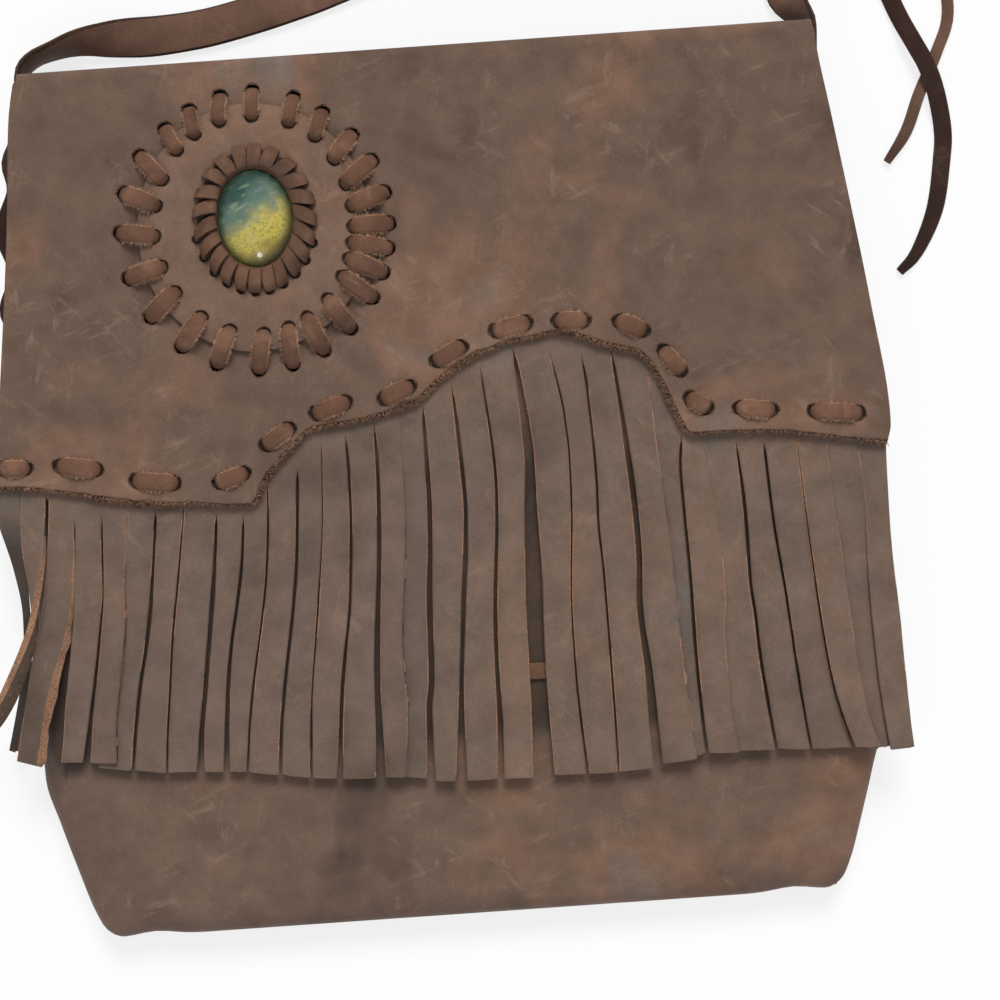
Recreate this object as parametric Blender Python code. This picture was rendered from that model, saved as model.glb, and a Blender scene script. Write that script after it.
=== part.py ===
"""Laced leather bag lying on its back: X across, +Y to the folded top edge, +Z to the front."""
import math

import bmesh
import bpy
import numpy as np
from mathutils import Matrix, Vector

for item in list(bpy.data.objects):
    bpy.data.objects.remove(item, do_unlink=True)

# Hides and laces
LEATHER = 0.0028
FRINGE_THICKNESS = 0.0024
DISC_THICKNESS = 0.0024
LACE_THICKNESS = 0.0018
CLEARANCE = 0.0003
HOLE_LACE_WIDTH = 0.0020
HOLE_RADIUS = 0.0024
LACE_BEND = 0.0011

# Body
BODY_LENGTH = 0.325
BODY_TOP_HALF = 0.146
BODY_WIDE_HALF = 0.158
BODY_FOOT_HALF = 0.1405
BODY_CORNER = 0.012
FRONT_HEIGHT = 0.0200
FRONT_EDGE_DROP = 0.0055
FRONT_EDGE_ROUND = 0.022
MOUTH_DEPTH = 0.030

# Flap and fringe
FLAP_TOP_HALF = 0.1478
FLAP_HALF = 0.165
FLAP_DEPTH = 0.155
FRINGE_PROUD = 0.001
FRINGE_HALF = FLAP_HALF + FRINGE_PROUD
FRINGE_DEPTH = 0.272
FRINGE_STRIPS = 27
SLIT_START = 0.006
SLIT_WIDTH = 0.0008
OPEN_SLIT = 17
OPEN_SLIT_WIDTH = 0.0050
EDGE_LACE_WIDTH = 0.0058
EDGE_STITCH = 0.0136

# Medallion
DISC_X = -0.0632
DISC_CENTRE_DEPTH = 0.0635
DISC_HALF_X = 0.0432
DISC_HALF_Y = 0.0458
DISC_LACE_WIDTH = 0.0052
DISC_STITCH = 0.0134
STONE_X = -0.0626
STONE_CENTRE_DEPTH = 0.0603
STONE_HALF_X = 0.0140
STONE_HALF_Y = 0.0185
STONE_HEIGHT = 0.0088
RING_LOBES = 22
RING_WIDTH = 0.0097
RING_RISE = 0.0032
RING_NOTCH = 0.0009

# Strap and ties
STRAP_WIDTH = 0.015
STRAP_THICKNESS = 0.003
STRAP_END_DEPTH = 0.060
LASHING_DEPTHS = (0.020, 0.048)
LASHING_LENGTH = 0.006
LASHING_HEIGHT = 0.0045
LASHING_FLOOR = 0.005
LASHING_WEB = 0.0028
TIE_DIAMETER = 0.0042
KNOT_RADIUS = 0.0045

# Stitch on the front panel, seen through the open slit
CLOSURE_X = 0.0309
CLOSURE_CENTRE_DEPTH = 0.2345
CLOSURE_LENGTH = 0.024
CLOSURE_WIDTH = 0.0062

# Levels of the stacked layers
BACK_TOP = LEATHER
FRONT_BOTTOM = FRONT_HEIGHT - LEATHER
FRINGE_BOTTOM = FRONT_HEIGHT + LACE_THICKNESS + 2 * CLEARANCE
FRINGE_TOP = FRINGE_BOTTOM + FRINGE_THICKNESS
FLAP_BOTTOM = FRINGE_TOP + CLEARANCE
FLAP_TOP = FLAP_BOTTOM + LEATHER
DISC_BOTTOM = FLAP_TOP + CLEARANCE
DISC_TOP = DISC_BOTTOM + DISC_THICKNESS
FOLD_Y = BODY_LENGTH / 2
HINGE_Y = FOLD_Y - LEATHER / 2
HINGE_Z = FLAP_BOTTOM + LEATHER / 2
GUSSET_TOP = FRONT_HEIGHT - FRONT_EDGE_DROP - LEATHER - CLEARANCE

# Lower edge of the flap in shares of FLAP_HALF and FLAP_DEPTH: two tips with a wave between them
WAVE_LEFT = ((-1.005, 0.981), (-0.750, 1.025), (-0.433, 1.065))
WAVE_MIDDLE = ((-0.433, 1.065), (-0.394, 0.994), (-0.292, 0.894), (-0.097, 0.858), (0.008, 0.789),
               (0.147, 0.721), (0.283, 0.702), (0.436, 0.752), (0.509, 0.845), (0.558, 0.966))
WAVE_RIGHT = ((0.558, 0.966), (0.782, 0.979), (0.998, 1.018))
WAVE_STEPS = 3

# Upper edge of the fringe sheet behind the flap, in shares of FRINGE_HALF and FLAP_DEPTH
FRINGE_UPPER = ((-1.0, 0.78), (-0.38, 0.80), (-0.20, 0.72), (0.08, 0.60), (0.45, 0.55),
                (0.62, 0.68), (1.0, 0.78))

# Middles of the running stitches above the wave, in the same shares
EDGE_STITCHES = ((-0.935, 0.938), (-0.815, 0.950), (-0.644, 0.997), (-0.474, 0.999), (-0.364, 0.910),
                 (-0.241, 0.850), (-0.092, 0.825), (0.031, 0.741), (0.174, 0.686), (0.309, 0.683),
                 (0.442, 0.705), (0.529, 0.794), (0.581, 0.899), (0.707, 0.923), (0.888, 0.943))

# Stitches round the disc: direction from its centre, and how far each one leans from it, in degrees
DISC_STITCHES = ((86.9, 0), (67.5, 10), (52.5, 18), (36.8, 14), (22.8, 16), (9.6, 10), (-2.5, 4),
                 (-12.0, 0), (-21.6, -4), (-32.4, -6), (-47.8, -8), (-62.7, -4), (-76.2, -12),
                 (-90.8, -12), (-109.4, -7), (-126.6, -3), (-145.3, 4), (-162.4, -4), (-180.4, -10),
                 (-196.7, -9), (-212.4, -17), (-228.9, -15), (-242.0, -18), (-257.0, -18))

# Strap route: across, above the top edge, and roll from lying flat (0) to standing on edge (90)
STRAP_ROUTE = ((-0.1492, 0.0005, 88), (-0.1450, 0.0075, 84), (-0.1360, 0.0110, 78),
               (-0.1260, 0.0135, 60), (-0.1120, 0.0145, 30), (-0.0970, 0.0150, 8),
               (-0.0780, 0.0170, 0), (-0.0590, 0.0210, 0), (-0.0400, 0.0260, 0),
               (-0.0180, 0.0330, 15), (0.0050, 0.0390, 45), (0.0300, 0.0430, 80),
               (0.0600, 0.0445, 90), (0.0950, 0.0450, 90), (0.1130, 0.0490, 90),
               (0.1210, 0.0575, 90), (0.1130, 0.0660, 90), (0.0950, 0.0700, 90),
               (0.0600, 0.0705, 90), (0.0000, 0.0705, 90), (-0.0600, 0.0705, 90),
               (-0.1000, 0.0710, 90), (-0.1180, 0.0750, 90), (-0.1260, 0.0835, 90),
               (-0.1180, 0.0920, 90), (-0.1000, 0.0960, 90), (-0.0600, 0.0965, 90),
               (0.0000, 0.0965, 90), (0.0600, 0.0965, 90), (0.1100, 0.0960, 90),
               (0.1380, 0.0930, 90), (0.1550, 0.0830, 90), (0.1600, 0.0680, 90),
               (0.1560, 0.0540, 85), (0.1480, 0.0420, 60), (0.1420, 0.0280, 30),
               (0.1410, 0.0160, 22), (0.1450, 0.0070, 55), (0.1494, -0.0005, 86))
STRAP_STEPS = 3

# Tie laces: across, above the top edge, and height of the middle line above the floor
TIE_FLOOR = TIE_DIAMETER / 2 + CLEARANCE
TIE_CROSSING = TIE_FLOOR + TIE_DIAMETER + CLEARANCE
LONG_TIE = ((0.1667, 0.0630, TIE_FLOOR), (0.1688, 0.0520, TIE_FLOOR), (0.1728, 0.0360, TIE_FLOOR),
            (0.1782, 0.0200, TIE_FLOOR), (0.1840, 0.0040, TIE_FLOOR), (0.1890, -0.0080, 0.0058),
            (0.1930, -0.0170, TIE_CROSSING), (0.1960, -0.0270, 0.0058),
            (0.1980, -0.0410, TIE_FLOOR), (0.1970, -0.0520, TIE_FLOOR),
            (0.1930, -0.0710, TIE_FLOOR), (0.1850, -0.0870, TIE_FLOOR),
            (0.1780, -0.0940, TIE_FLOOR))
SHORT_TIE = ((0.1713, 0.0684, TIE_FLOOR), (0.1830, 0.0630, TIE_FLOOR), (0.1940, 0.0450, TIE_FLOOR),
             (0.2010, 0.0240, TIE_FLOOR), (0.2030, 0.0030, TIE_FLOOR), (0.1975, -0.0120, TIE_FLOOR),
             (0.1900, -0.0270, TIE_FLOOR), (0.1840, -0.0410, TIE_FLOOR), (0.1760, -0.0520, TIE_FLOOR))
LEFT_TIE = ((-0.1529, -0.0120, TIE_FLOOR), (-0.1532, -0.0190, TIE_FLOOR),
            (-0.1580, -0.0290, TIE_FLOOR), (-0.1564, -0.0400, TIE_FLOOR),
            (-0.1620, -0.0550, TIE_FLOOR), (-0.1582, -0.0710, TIE_FLOOR),
            (-0.1625, -0.0840, TIE_FLOOR), (-0.1615, -0.0920, TIE_FLOOR))
TIE_STEPS = 3

BROWN = (0.171, 0.112, 0.086)
DARK_BROWN = (0.060, 0.026, 0.022)
LACE_BROWN = (0.240, 0.118, 0.077)
STONE_GREEN = (0.130, 0.240, 0.150)


def material(name, colour, roughness, metallic=0.0):
    """Give each sub-part its own surface."""
    made = bpy.data.materials.new(name)
    made.use_nodes = True
    shader = made.node_tree.nodes["Principled BSDF"]
    shader.inputs["Base Color"].default_value = (*colour, 1.0)
    shader.inputs["Roughness"].default_value = roughness
    shader.inputs["Metallic"].default_value = metallic
    return made


def finish(name, bm, colour, roughness):
    """Turn a bmesh into a named object with its faces pointing out."""
    bmesh.ops.recalc_face_normals(bm, faces=bm.faces[:])
    mesh = bpy.data.meshes.new(name)
    bm.to_mesh(mesh)
    bm.free()
    mesh.materials.append(material(name, colour, roughness))
    made = bpy.data.objects.new(name, mesh)
    bpy.context.collection.objects.link(made)
    return made


def y_at(depth):
    """World Y of a point at a depth below the folded top edge."""
    return FOLD_Y - depth


def smooth(points, steps):
    """Catmull-Rom curve through the points, ends included."""
    rows = [np.array(p, dtype=float) for p in points]
    rows = [2 * rows[0] - rows[1]] + rows + [2 * rows[-1] - rows[-2]]
    curve = []
    for a, b, c, d in zip(rows, rows[1:], rows[2:], rows[3:]):
        for step in range(steps):
            t = step / steps
            curve.append(0.5 * (2 * b + (c - a) * t + (2 * a - 5 * b + 4 * c - d) * t ** 2
                                + (3 * b - a - 3 * c + d) * t ** 3))
    curve.append(rows[-2])
    return curve


def plate(bm, outline, holes, low, high):
    """Fill an outline with holes at the low level and raise it to the high one."""
    edges = []
    for loop in [outline] + holes:
        corners = [bm.verts.new((x, y, low)) for x, y in loop]
        edges += [bm.edges.new((corners[i - 1], corners[i])) for i in range(len(corners))]
    filled = bmesh.ops.triangle_fill(bm, edges=edges, use_beauty=True)
    faces = [f for f in filled["geom"] if isinstance(f, bmesh.types.BMFace)]
    raised = bmesh.ops.extrude_face_region(bm, geom=faces)
    moved = [v for v in raised["geom"] if isinstance(v, bmesh.types.BMVert)]
    bmesh.ops.translate(bm, verts=moved, vec=(0, 0, high - low))


def round_hole(centre, sides=6, radius=HOLE_RADIUS):
    """Corners of a punched hole."""
    turn = 2 * math.pi / sides
    return [(centre[0] + radius * math.cos(i * turn), centre[1] + radius * math.sin(i * turn))
            for i in range(sides)]


def rings_to_solid(bm, rings, closed=False):
    """Skin equal rings of points, closed on itself or with a cap at each end."""
    loops = [[bm.verts.new(p) for p in ring] for ring in rings]
    count = len(loops[0])
    pairs = list(zip(loops, loops[1:] + loops[:1])) if closed else list(zip(loops, loops[1:]))
    for first, second in pairs:
        for i in range(count):
            j = (i + 1) % count
            bm.faces.new((first[i], first[j], second[j], second[i]))
    if not closed:
        bm.faces.new(loops[0][::-1])
        bm.faces.new(loops[-1])


def body_half(depth):
    """Half width of the body at a depth below the top edge."""
    knots = (0.0, 0.25, 0.5, 0.78, 0.86, 0.93, 1.0)
    swell = BODY_WIDE_HALF - BODY_TOP_HALF
    taper = BODY_WIDE_HALF - BODY_FOOT_HALF
    halves = (BODY_TOP_HALF, BODY_TOP_HALF + 0.38 * swell, BODY_TOP_HALF + 0.75 * swell,
              BODY_WIDE_HALF, BODY_FOOT_HALF + 0.73 * taper, BODY_FOOT_HALF + 0.36 * taper,
              BODY_FOOT_HALF)
    return float(np.interp(depth / BODY_LENGTH, knots, halves))


def body_side(inset, top):
    """Right side and rounded foot corner of the body, from the given top depth downwards."""
    straight = np.linspace(top, BODY_LENGTH - BODY_CORNER, 12)
    points = [(body_half(d) - inset, y_at(d)) for d in straight]
    middle = points[-1][0] - (BODY_CORNER - inset)
    for angle in np.radians((-22.5, -45.0, -67.5, -90.0)):
        points.append((middle + (BODY_CORNER - inset) * math.cos(angle),
                       y_at(BODY_LENGTH - BODY_CORNER) + (BODY_CORNER - inset) * math.sin(angle)))
    return points


def mirrored(points):
    """The same points on the left, in the opposite order."""
    return [(-x, y) for x, y in reversed(points)]


def back_panel():
    """Flat back with a band that turns up along the fold to just under the flap."""
    side = body_side(0.0, 0.0)
    band_corner = (body_half(LEATHER), y_at(LEATHER))
    side.insert(1, band_corner)
    outline = mirrored(side) + side
    bm = bmesh.new()
    base = bm.faces.new([bm.verts.new((x, y, 0.0)) for x, y in outline])
    raised = bmesh.ops.extrude_face_region(bm, geom=[base])
    moved = [v for v in raised["geom"] if isinstance(v, bmesh.types.BMVert)]
    bmesh.ops.translate(bm, verts=moved, vec=(0, 0, BACK_TOP))
    upper = next(f for f in raised["geom"] if isinstance(f, bmesh.types.BMFace))
    ends = [v for v in upper.verts if abs(v.co.y - band_corner[1]) < CLEARANCE]
    bmesh.utils.face_split(upper, ends[0], ends[1])
    strip = min((f for f in bm.faces if all(v.co.z > BACK_TOP / 2 for v in f.verts)),
                key=lambda f: f.calc_area())
    band = bmesh.ops.extrude_discrete_faces(bm, faces=[strip])["faces"][0]
    bmesh.ops.translate(bm, verts=band.verts[:], vec=(0, 0, FLAP_BOTTOM - CLEARANCE - BACK_TOP))
    return finish("back_panel", bm, BROWN, 0.55)


def gusset():
    """Upright wall between the panels, round both sides and the foot."""
    top = LEATHER + CLEARANCE
    outer = body_side(0.0, top)
    inner = body_side(LEATHER, top)
    outline = outer + mirrored(outer) + mirrored(inner)[::-1] + inner[::-1]
    bm = bmesh.new()
    plate(bm, outline, [], BACK_TOP + CLEARANCE, GUSSET_TOP)
    return finish("gusset", bm, DARK_BROWN, 0.6)


def front_level(x, depth):
    """Top of the front panel, which turns down towards the sides and the foot."""
    inset = min(body_half(depth) - abs(x), BODY_LENGTH - depth)
    share = min(max(inset / FRONT_EDGE_ROUND, 0.0), 1.0)
    return FRONT_HEIGHT - FRONT_EDGE_DROP * (1 - share) ** 2


def front_panel():
    """Front sheet from below the mouth to the foot, with its edge turned down."""
    straight = list(np.linspace(MOUTH_DEPTH, BODY_LENGTH - FRONT_EDGE_ROUND, 8))
    rows = straight + [BODY_LENGTH - s * BODY_CORNER for s in (1.0, 0.62, 0.29, 0.08, 0.0)]
    across = (-1.0, -0.985, -0.95, -0.90, -0.85, -0.45, 0.0, 0.45, 0.85, 0.90, 0.95, 0.985, 1.0)
    upper = []
    for depth in rows:
        rise = max(depth - (BODY_LENGTH - BODY_CORNER), 0.0)
        half = body_half(depth) - BODY_CORNER + math.sqrt(
            max(BODY_CORNER ** 2 - rise ** 2, 0.0))
        upper.append([Vector((s * half, y_at(depth), front_level(s * body_half(depth), depth)))
                      for s in across])
    bm = bmesh.new()
    tops = [[bm.verts.new(p) for p in row] for row in upper]
    lows = [[bm.verts.new(p - Vector((0, 0, LEATHER))) for p in row] for row in upper]
    last_row = len(rows) - 1
    last = len(across) - 1
    for r in range(last_row):
        for c in range(last):
            bm.faces.new((tops[r][c], tops[r + 1][c], tops[r + 1][c + 1], tops[r][c + 1]))
            bm.faces.new((lows[r][c], lows[r][c + 1], lows[r + 1][c + 1], lows[r + 1][c]))
        for c in (0, last):
            bm.faces.new((tops[r][c], tops[r + 1][c], lows[r + 1][c], lows[r][c]))
    for r in (0, last_row):
        for c in range(last):
            bm.faces.new((tops[r][c], tops[r][c + 1], lows[r][c + 1], lows[r][c]))
    made = finish("front_panel", bm, BROWN, 0.55)
    slot = (LACE_THICKNESS / 2 + CLEARANCE, CLOSURE_WIDTH / 2 + CLEARANCE, LEATHER)
    places = [(CLOSURE_X + side * (CLOSURE_LENGTH - LACE_THICKNESS) / 2, y_at(CLOSURE_CENTRE_DEPTH),
               FRONT_HEIGHT - LEATHER / 2) for side in (-1, 1)]
    cut(made, box_cutter("closure_slots", [(place, slot) for place in places]))
    return made


def box_cutter(name, boxes):
    """Hidden boxes, each given by its centre and half sizes."""
    bm = bmesh.new()
    for centre, half in boxes:
        grown = bmesh.ops.create_cube(bm, size=2.0)
        bmesh.ops.scale(bm, verts=grown["verts"], vec=half)
        bmesh.ops.translate(bm, verts=grown["verts"], vec=centre)
    made = finish(name, bm, BROWN, 0.5)
    made.hide_render = True
    made.display_type = "WIRE"
    return made


def cut(target, cutter):
    """Take the cutter out of the target."""
    made = target.modifiers.new("slots", "BOOLEAN")
    made.operation = "DIFFERENCE"
    made.object = cutter


def closure_thong():
    """Short lace stitched across the front panel, with both ends through it."""
    half = CLOSURE_LENGTH / 2
    leg = LACE_THICKNESS
    high = FRONT_HEIGHT + CLEARANCE + LACE_THICKNESS
    under = FRONT_HEIGHT + CLEARANCE
    foot = FRONT_BOTTOM - LACE_THICKNESS
    profile = ((-half, foot), (-half, high), (half, high), (half, foot), (half - leg, foot),
               (half - leg, under), (leg - half, under), (leg - half, foot))
    bm = bmesh.new()
    plate(bm, list(profile), [], -CLOSURE_WIDTH / 2, CLOSURE_WIDTH / 2)
    turn = Matrix.Translation((CLOSURE_X, y_at(CLOSURE_CENTRE_DEPTH), 0)) @ Matrix.Rotation(
        math.pi / 2, 4, "X")
    bmesh.ops.transform(bm, matrix=turn, verts=bm.verts[:])
    return finish("closure_thong", bm, LACE_BROWN, 0.7)


def wave():
    """Lower edge of the flap from left to right."""
    points = []
    for span in (WAVE_LEFT, WAVE_MIDDLE, WAVE_RIGHT):
        points += smooth(span, WAVE_STEPS)[:-1]
    points.append(np.array(WAVE_RIGHT[-1]))
    return [(x * FLAP_HALF, y_at(d * FLAP_DEPTH)) for x, d in points]


def edge_holes():
    """Two hole centres for each running stitch above the wave."""
    centres = [Vector((x * FLAP_HALF, y_at(d * FLAP_DEPTH))) for x, d in EDGE_STITCHES]
    pairs = []
    for i, centre in enumerate(centres):
        before = centres[max(i - 1, 0)]
        after = centres[min(i + 1, len(centres) - 1)]
        along = (after - before).normalized() * EDGE_STITCH / 2
        pairs.append((centre - along, centre + along))
    return pairs


def disc_holes():
    """Outer and inner hole centre for each stitch over the edge of the disc."""
    middle = Vector((DISC_X, y_at(DISC_CENTRE_DEPTH)))
    pairs = []
    for angle, lean in DISC_STITCHES:
        out = math.radians(angle)
        tilt = math.radians(angle + lean)
        rim = middle + Vector((DISC_HALF_X * math.cos(out), DISC_HALF_Y * math.sin(out)))
        along = Vector((math.cos(tilt), math.sin(tilt))) * DISC_STITCH / 2
        pairs.append((rim + along, rim - along))
    return pairs


def flap_panel():
    """Flap with a rounded end on the hinge line, a waved lower edge and all its punched holes."""
    lower = wave()
    left = [(-FLAP_TOP_HALF, HINGE_Y), (-0.953 * FLAP_HALF, y_at(0.5 * FLAP_DEPTH))]
    right = [(0.965 * FLAP_HALF, y_at(0.5 * FLAP_DEPTH)), (FLAP_TOP_HALF, HINGE_Y)]
    holes = [round_hole(h) for pair in edge_holes() + disc_holes() for h in pair]
    bm = bmesh.new()
    plate(bm, left + lower + right, holes, FLAP_BOTTOM, FLAP_TOP)
    end = next(f for f in bm.faces if all(v.co.y > HINGE_Y - CLEARANCE for v in f.verts))
    corners = sorted(end.verts, key=lambda v: (v.co.x, v.co.z))
    bmesh.ops.delete(bm, geom=[end], context="FACES_ONLY")
    arcs = []
    for low, high in (corners[:2], corners[2:]):
        bend = [bm.verts.new((low.co.x, HINGE_Y + LEATHER / 2 * math.cos(a),
                              HINGE_Z + LEATHER / 2 * math.sin(a)))
                for a in (-math.pi / 4, 0.0, math.pi / 4)]
        arcs.append([low] + bend + [high])
        bm.faces.new(arcs[-1])
    for i in range(4):
        bm.faces.new((arcs[0][i], arcs[0][i + 1], arcs[1][i + 1], arcs[1][i]))
    return finish("flap_panel", bm, BROWN, 0.5)


def fringe():
    """Fringe sheet behind the flap: lapped and laced at the top, slit into strips below."""
    lower = wave()
    wave_x = [p[0] for p in lower]
    wave_y = [p[1] for p in lower]
    foot_x = np.array((-1.0, -0.37, 0.08, 0.55, 1.0)) * FRINGE_HALF
    foot_depth = np.array((0.921, 0.981, 1.003, 1.002, 0.998)) * FRINGE_DEPTH
    pitch = 2 * FRINGE_HALF / FRINGE_STRIPS
    outline = [(-FRINGE_HALF, y_at(float(foot_depth[0])))]
    for slit in range(1, FRINGE_STRIPS):
        x = -FRINGE_HALF + slit * pitch
        root = float(np.interp(x, wave_x, wave_y)) - SLIT_START
        foot = y_at(float(np.interp(x, foot_x, foot_depth)))
        half = (OPEN_SLIT_WIDTH if slit == OPEN_SLIT else SLIT_WIDTH) / 2
        outline += [(x - half, foot), (x - SLIT_WIDTH / 2, root), (x + SLIT_WIDTH / 2, root),
                    (x + half, foot)]
    outline.append((FRINGE_HALF, y_at(float(foot_depth[-1]))))
    outline += [(x * FRINGE_HALF, y_at(d * FLAP_DEPTH)) for x, d in reversed(FRINGE_UPPER)]
    holes = [round_hole(h) for pair in edge_holes() for h in pair]
    bm = bmesh.new()
    plate(bm, outline, holes, FRINGE_BOTTOM, FRINGE_TOP)
    return finish("fringe", bm, BROWN, 0.55)


def bent(corners):
    """Cut each corner of a lace's route in two; it is narrow where it stands in a hole."""
    route = [corners[0]]
    for before, here, after in zip(corners, corners[1:], corners[2:]):
        for other in (before, after):
            away = other[0] - here[0]
            bend = min(LACE_BEND, 0.4 * away.length)
            upright = abs(away.normalized().z) > 0.7
            route.append((here[0] + away.normalized() * bend,
                          HOLE_LACE_WIDTH if upright else here[1]))
    return route + [corners[-1]]


def lace(name, corners, colour):
    """Flat lace along corners of (point, width), level across its own direction."""
    route = bent(corners)
    rings = []
    held = Vector()
    for i, (point, width) in enumerate(route):
        into = (point - route[i - 1][0]).normalized() if i else Vector()
        out = (route[i + 1][0] - point).normalized() if i + 1 < len(route) else Vector()
        along = (into + out).normalized()
        across = Vector((along.y, -along.x, 0)).normalized()
        if across.dot(held) < 0:
            across = -across
        held = across
        up = across.cross(along) * LACE_THICKNESS / 2
        across = across * width / 2
        rings.append([point + across + up, point - across + up, point - across - up,
                      point + across - up])
    bm = bmesh.new()
    rings_to_solid(bm, rings)
    return finish(name, bm, colour, 0.75)


def stitched(pairs, levels, width, under, under_width):
    """Lace route through pairs of holes, with a short tail under the leather at both ends."""
    first, last = pairs[0], pairs[-1]
    tail = 0.35 * (first[0] - first[1])
    corners = [((first[0] + tail).to_3d() + Vector((0, 0, under)), under_width)]
    for start, end in pairs:
        corners.append((start.to_3d() + Vector((0, 0, under)), under_width))
        for share, level in levels:
            corners.append((start.lerp(end, share).to_3d() + Vector((0, 0, level)), width))
        corners.append((end.to_3d() + Vector((0, 0, under)), under_width))
    tail = 0.35 * (last[1] - last[0])
    corners.append(((last[1] + tail).to_3d() + Vector((0, 0, under)), under_width))
    return corners


def edge_lacing():
    """One lace running through flap and fringe along the wave."""
    over = FLAP_TOP + CLEARANCE + LACE_THICKNESS / 2
    under = FRINGE_BOTTOM - CLEARANCE - LACE_THICKNESS / 2
    corners = stitched(edge_holes(), ((0.0, over), (1.0, over)), EDGE_LACE_WIDTH, under,
                       0.6 * EDGE_LACE_WIDTH)
    return lace("edge_lacing", corners, LACE_BROWN)


def disc_lacing():
    """One lace whipped over the edge of the disc and through the flap."""
    low = FLAP_TOP + CLEARANCE + LACE_THICKNESS / 2
    high = DISC_TOP + CLEARANCE + LACE_THICKNESS / 2
    under = FLAP_BOTTOM - CLEARANCE - LACE_THICKNESS / 2
    crest = 0.5 - LEATHER / 2 / DISC_STITCH
    corners = stitched(disc_holes(), ((0.0, low), (crest, high), (1.0, high)), DISC_LACE_WIDTH,
                       under, 0.6 * DISC_LACE_WIDTH)
    return lace("medallion_lacing", corners, LACE_BROWN)


def oval(centre_x, centre_depth, half_x, half_y, count):
    """Corners of an upright oval."""
    turns = [2 * math.pi * i / count for i in range(count)]
    return [(centre_x + half_x * math.cos(t), y_at(centre_depth) + half_y * math.sin(t))
            for t in turns]


def medallion_disc():
    """Oval disc with a window for the stone and a hole for each stitch."""
    seat = LACE_THICKNESS + CLEARANCE
    window = oval(STONE_X, STONE_CENTRE_DEPTH, STONE_HALF_X + seat, STONE_HALF_Y + seat, 32)
    rim = oval(DISC_X, DISC_CENTRE_DEPTH, DISC_HALF_X, DISC_HALF_Y, 48)
    holes = [round_hole(inner) for outer, inner in disc_holes()]
    bm = bmesh.new()
    plate(bm, rim, [window] + holes, DISC_BOTTOM, DISC_TOP)
    return finish("medallion_disc", bm, BROWN, 0.5)


def cabochon():
    """Domed oval stone that stands on the flap inside the window."""
    bm = bmesh.new()
    rings = []
    for share, rise in ((0.94, 0.0), (1.0, 0.10), (1.0, 0.42), (0.93, 0.66), (0.76, 0.85),
                        (0.50, 0.96), (0.2, 1.0)):
        level = DISC_BOTTOM + rise * STONE_HEIGHT
        fit = STONE_HALF_X - CLEARANCE
        rings.append([(x, y, level) for x, y in oval(
            STONE_X, STONE_CENTRE_DEPTH, share * fit, share * (STONE_HALF_Y - CLEARANCE), 24)])
    rings_to_solid(bm, rings)
    return finish("cabochon", bm, STONE_GREEN, 0.12)


def stone_ring():
    """Close whipped lace round the window: it lies on the disc and lines the window's wall."""
    low = DISC_BOTTOM + CLEARANCE
    bed = DISC_TOP + CLEARANCE
    wall = LACE_THICKNESS
    profile = ((0.0, low, 0), (0.0, bed + 0.5 * RING_RISE, 0), (0.12, bed + 0.9 * RING_RISE, 1),
               (0.36, bed + RING_RISE, 1), (0.67, bed + 0.72 * RING_RISE, 1),
               (1.0, bed + 0.2 * RING_RISE, 1), (1.0, bed, 1))
    rings = []
    stations = 3 * RING_LOBES
    for i in range(stations):
        turn = 2 * math.pi * i / stations
        notch = RING_NOTCH if i % 3 == 0 else 0.0
        ring = []
        for share, level, lobed in profile:
            off = share * (RING_WIDTH - notch)
            level = level - notch if lobed and level > bed + notch else level
            ring.append(((STONE_HALF_X + off) * math.cos(turn), (STONE_HALF_Y + off) * math.sin(turn),
                         level))
        for level in (bed, low):
            ring.append(((STONE_HALF_X + wall) * math.cos(turn),
                         (STONE_HALF_Y + wall) * math.sin(turn), level))
        rings.append([Vector(p) + Vector((STONE_X, y_at(STONE_CENTRE_DEPTH), 0)) for p in ring])
    bm = bmesh.new()
    rings_to_solid(bm, rings, closed=True)
    return finish("cabochon_lacing", bm, LACE_BROWN, 0.7)


def strap_line():
    """Strap stations as (x, y, roll): both ends lie along the gusset's outer faces."""
    depths = (STRAP_END_DEPTH, 0.66 * STRAP_END_DEPTH, 0.33 * STRAP_END_DEPTH)
    gap = CLEARANCE + STRAP_THICKNESS / 2
    left = [(-body_half(d) - gap, -d, 90) for d in depths]
    right = [(body_half(d) + gap, -d, 90) for d in reversed(depths)]
    return smooth(left + list(STRAP_ROUTE) + right, STRAP_STEPS)


def strap():
    """Flat shoulder strap: anchored at both sides, twisted flat in front, put away on edge."""
    line = strap_line()
    rings = []
    for i, (x, above, roll) in enumerate(line):
        before = line[max(i - 1, 0)]
        after = line[min(i + 1, len(line) - 1)]
        along = Vector((after[0] - before[0], after[1] - before[1], 0)).normalized()
        level = Vector((along.y, -along.x, 0))
        turn = math.radians(min(max(roll, 0.0), 90.0))
        across = level * math.cos(turn) + Vector((0, 0, math.sin(turn)))
        normal = along.cross(across) * STRAP_THICKNESS / 2
        across = across * STRAP_WIDTH / 2
        height = CLEARANCE + abs(across.z) + abs(normal.z)
        centre = Vector((x, FOLD_Y + above, height))
        rings.append([centre + across + normal, centre - across + normal,
                      centre - across - normal, centre + across - normal])
    bm = bmesh.new()
    rings_to_solid(bm, rings)
    made = finish("strap", bm, DARK_BROWN, 0.55)
    cut(made, bpy.data.objects["lashing_slots"])
    return made


def lashing_slots():
    """Slots for the lashings through strap ends and gusset, on both sides."""
    half = (LEATHER + STRAP_THICKNESS, LASHING_WEB / 2 + CLEARANCE,
            LASHING_HEIGHT / 2 + CLEARANCE)
    level = LASHING_FLOOR + LASHING_HEIGHT / 2
    boxes = [((side * body_half(d), y_at(d), level), half)
             for side in (-1, 1) for d in LASHING_DEPTHS]
    return box_cutter("lashing_slots", boxes)


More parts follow.
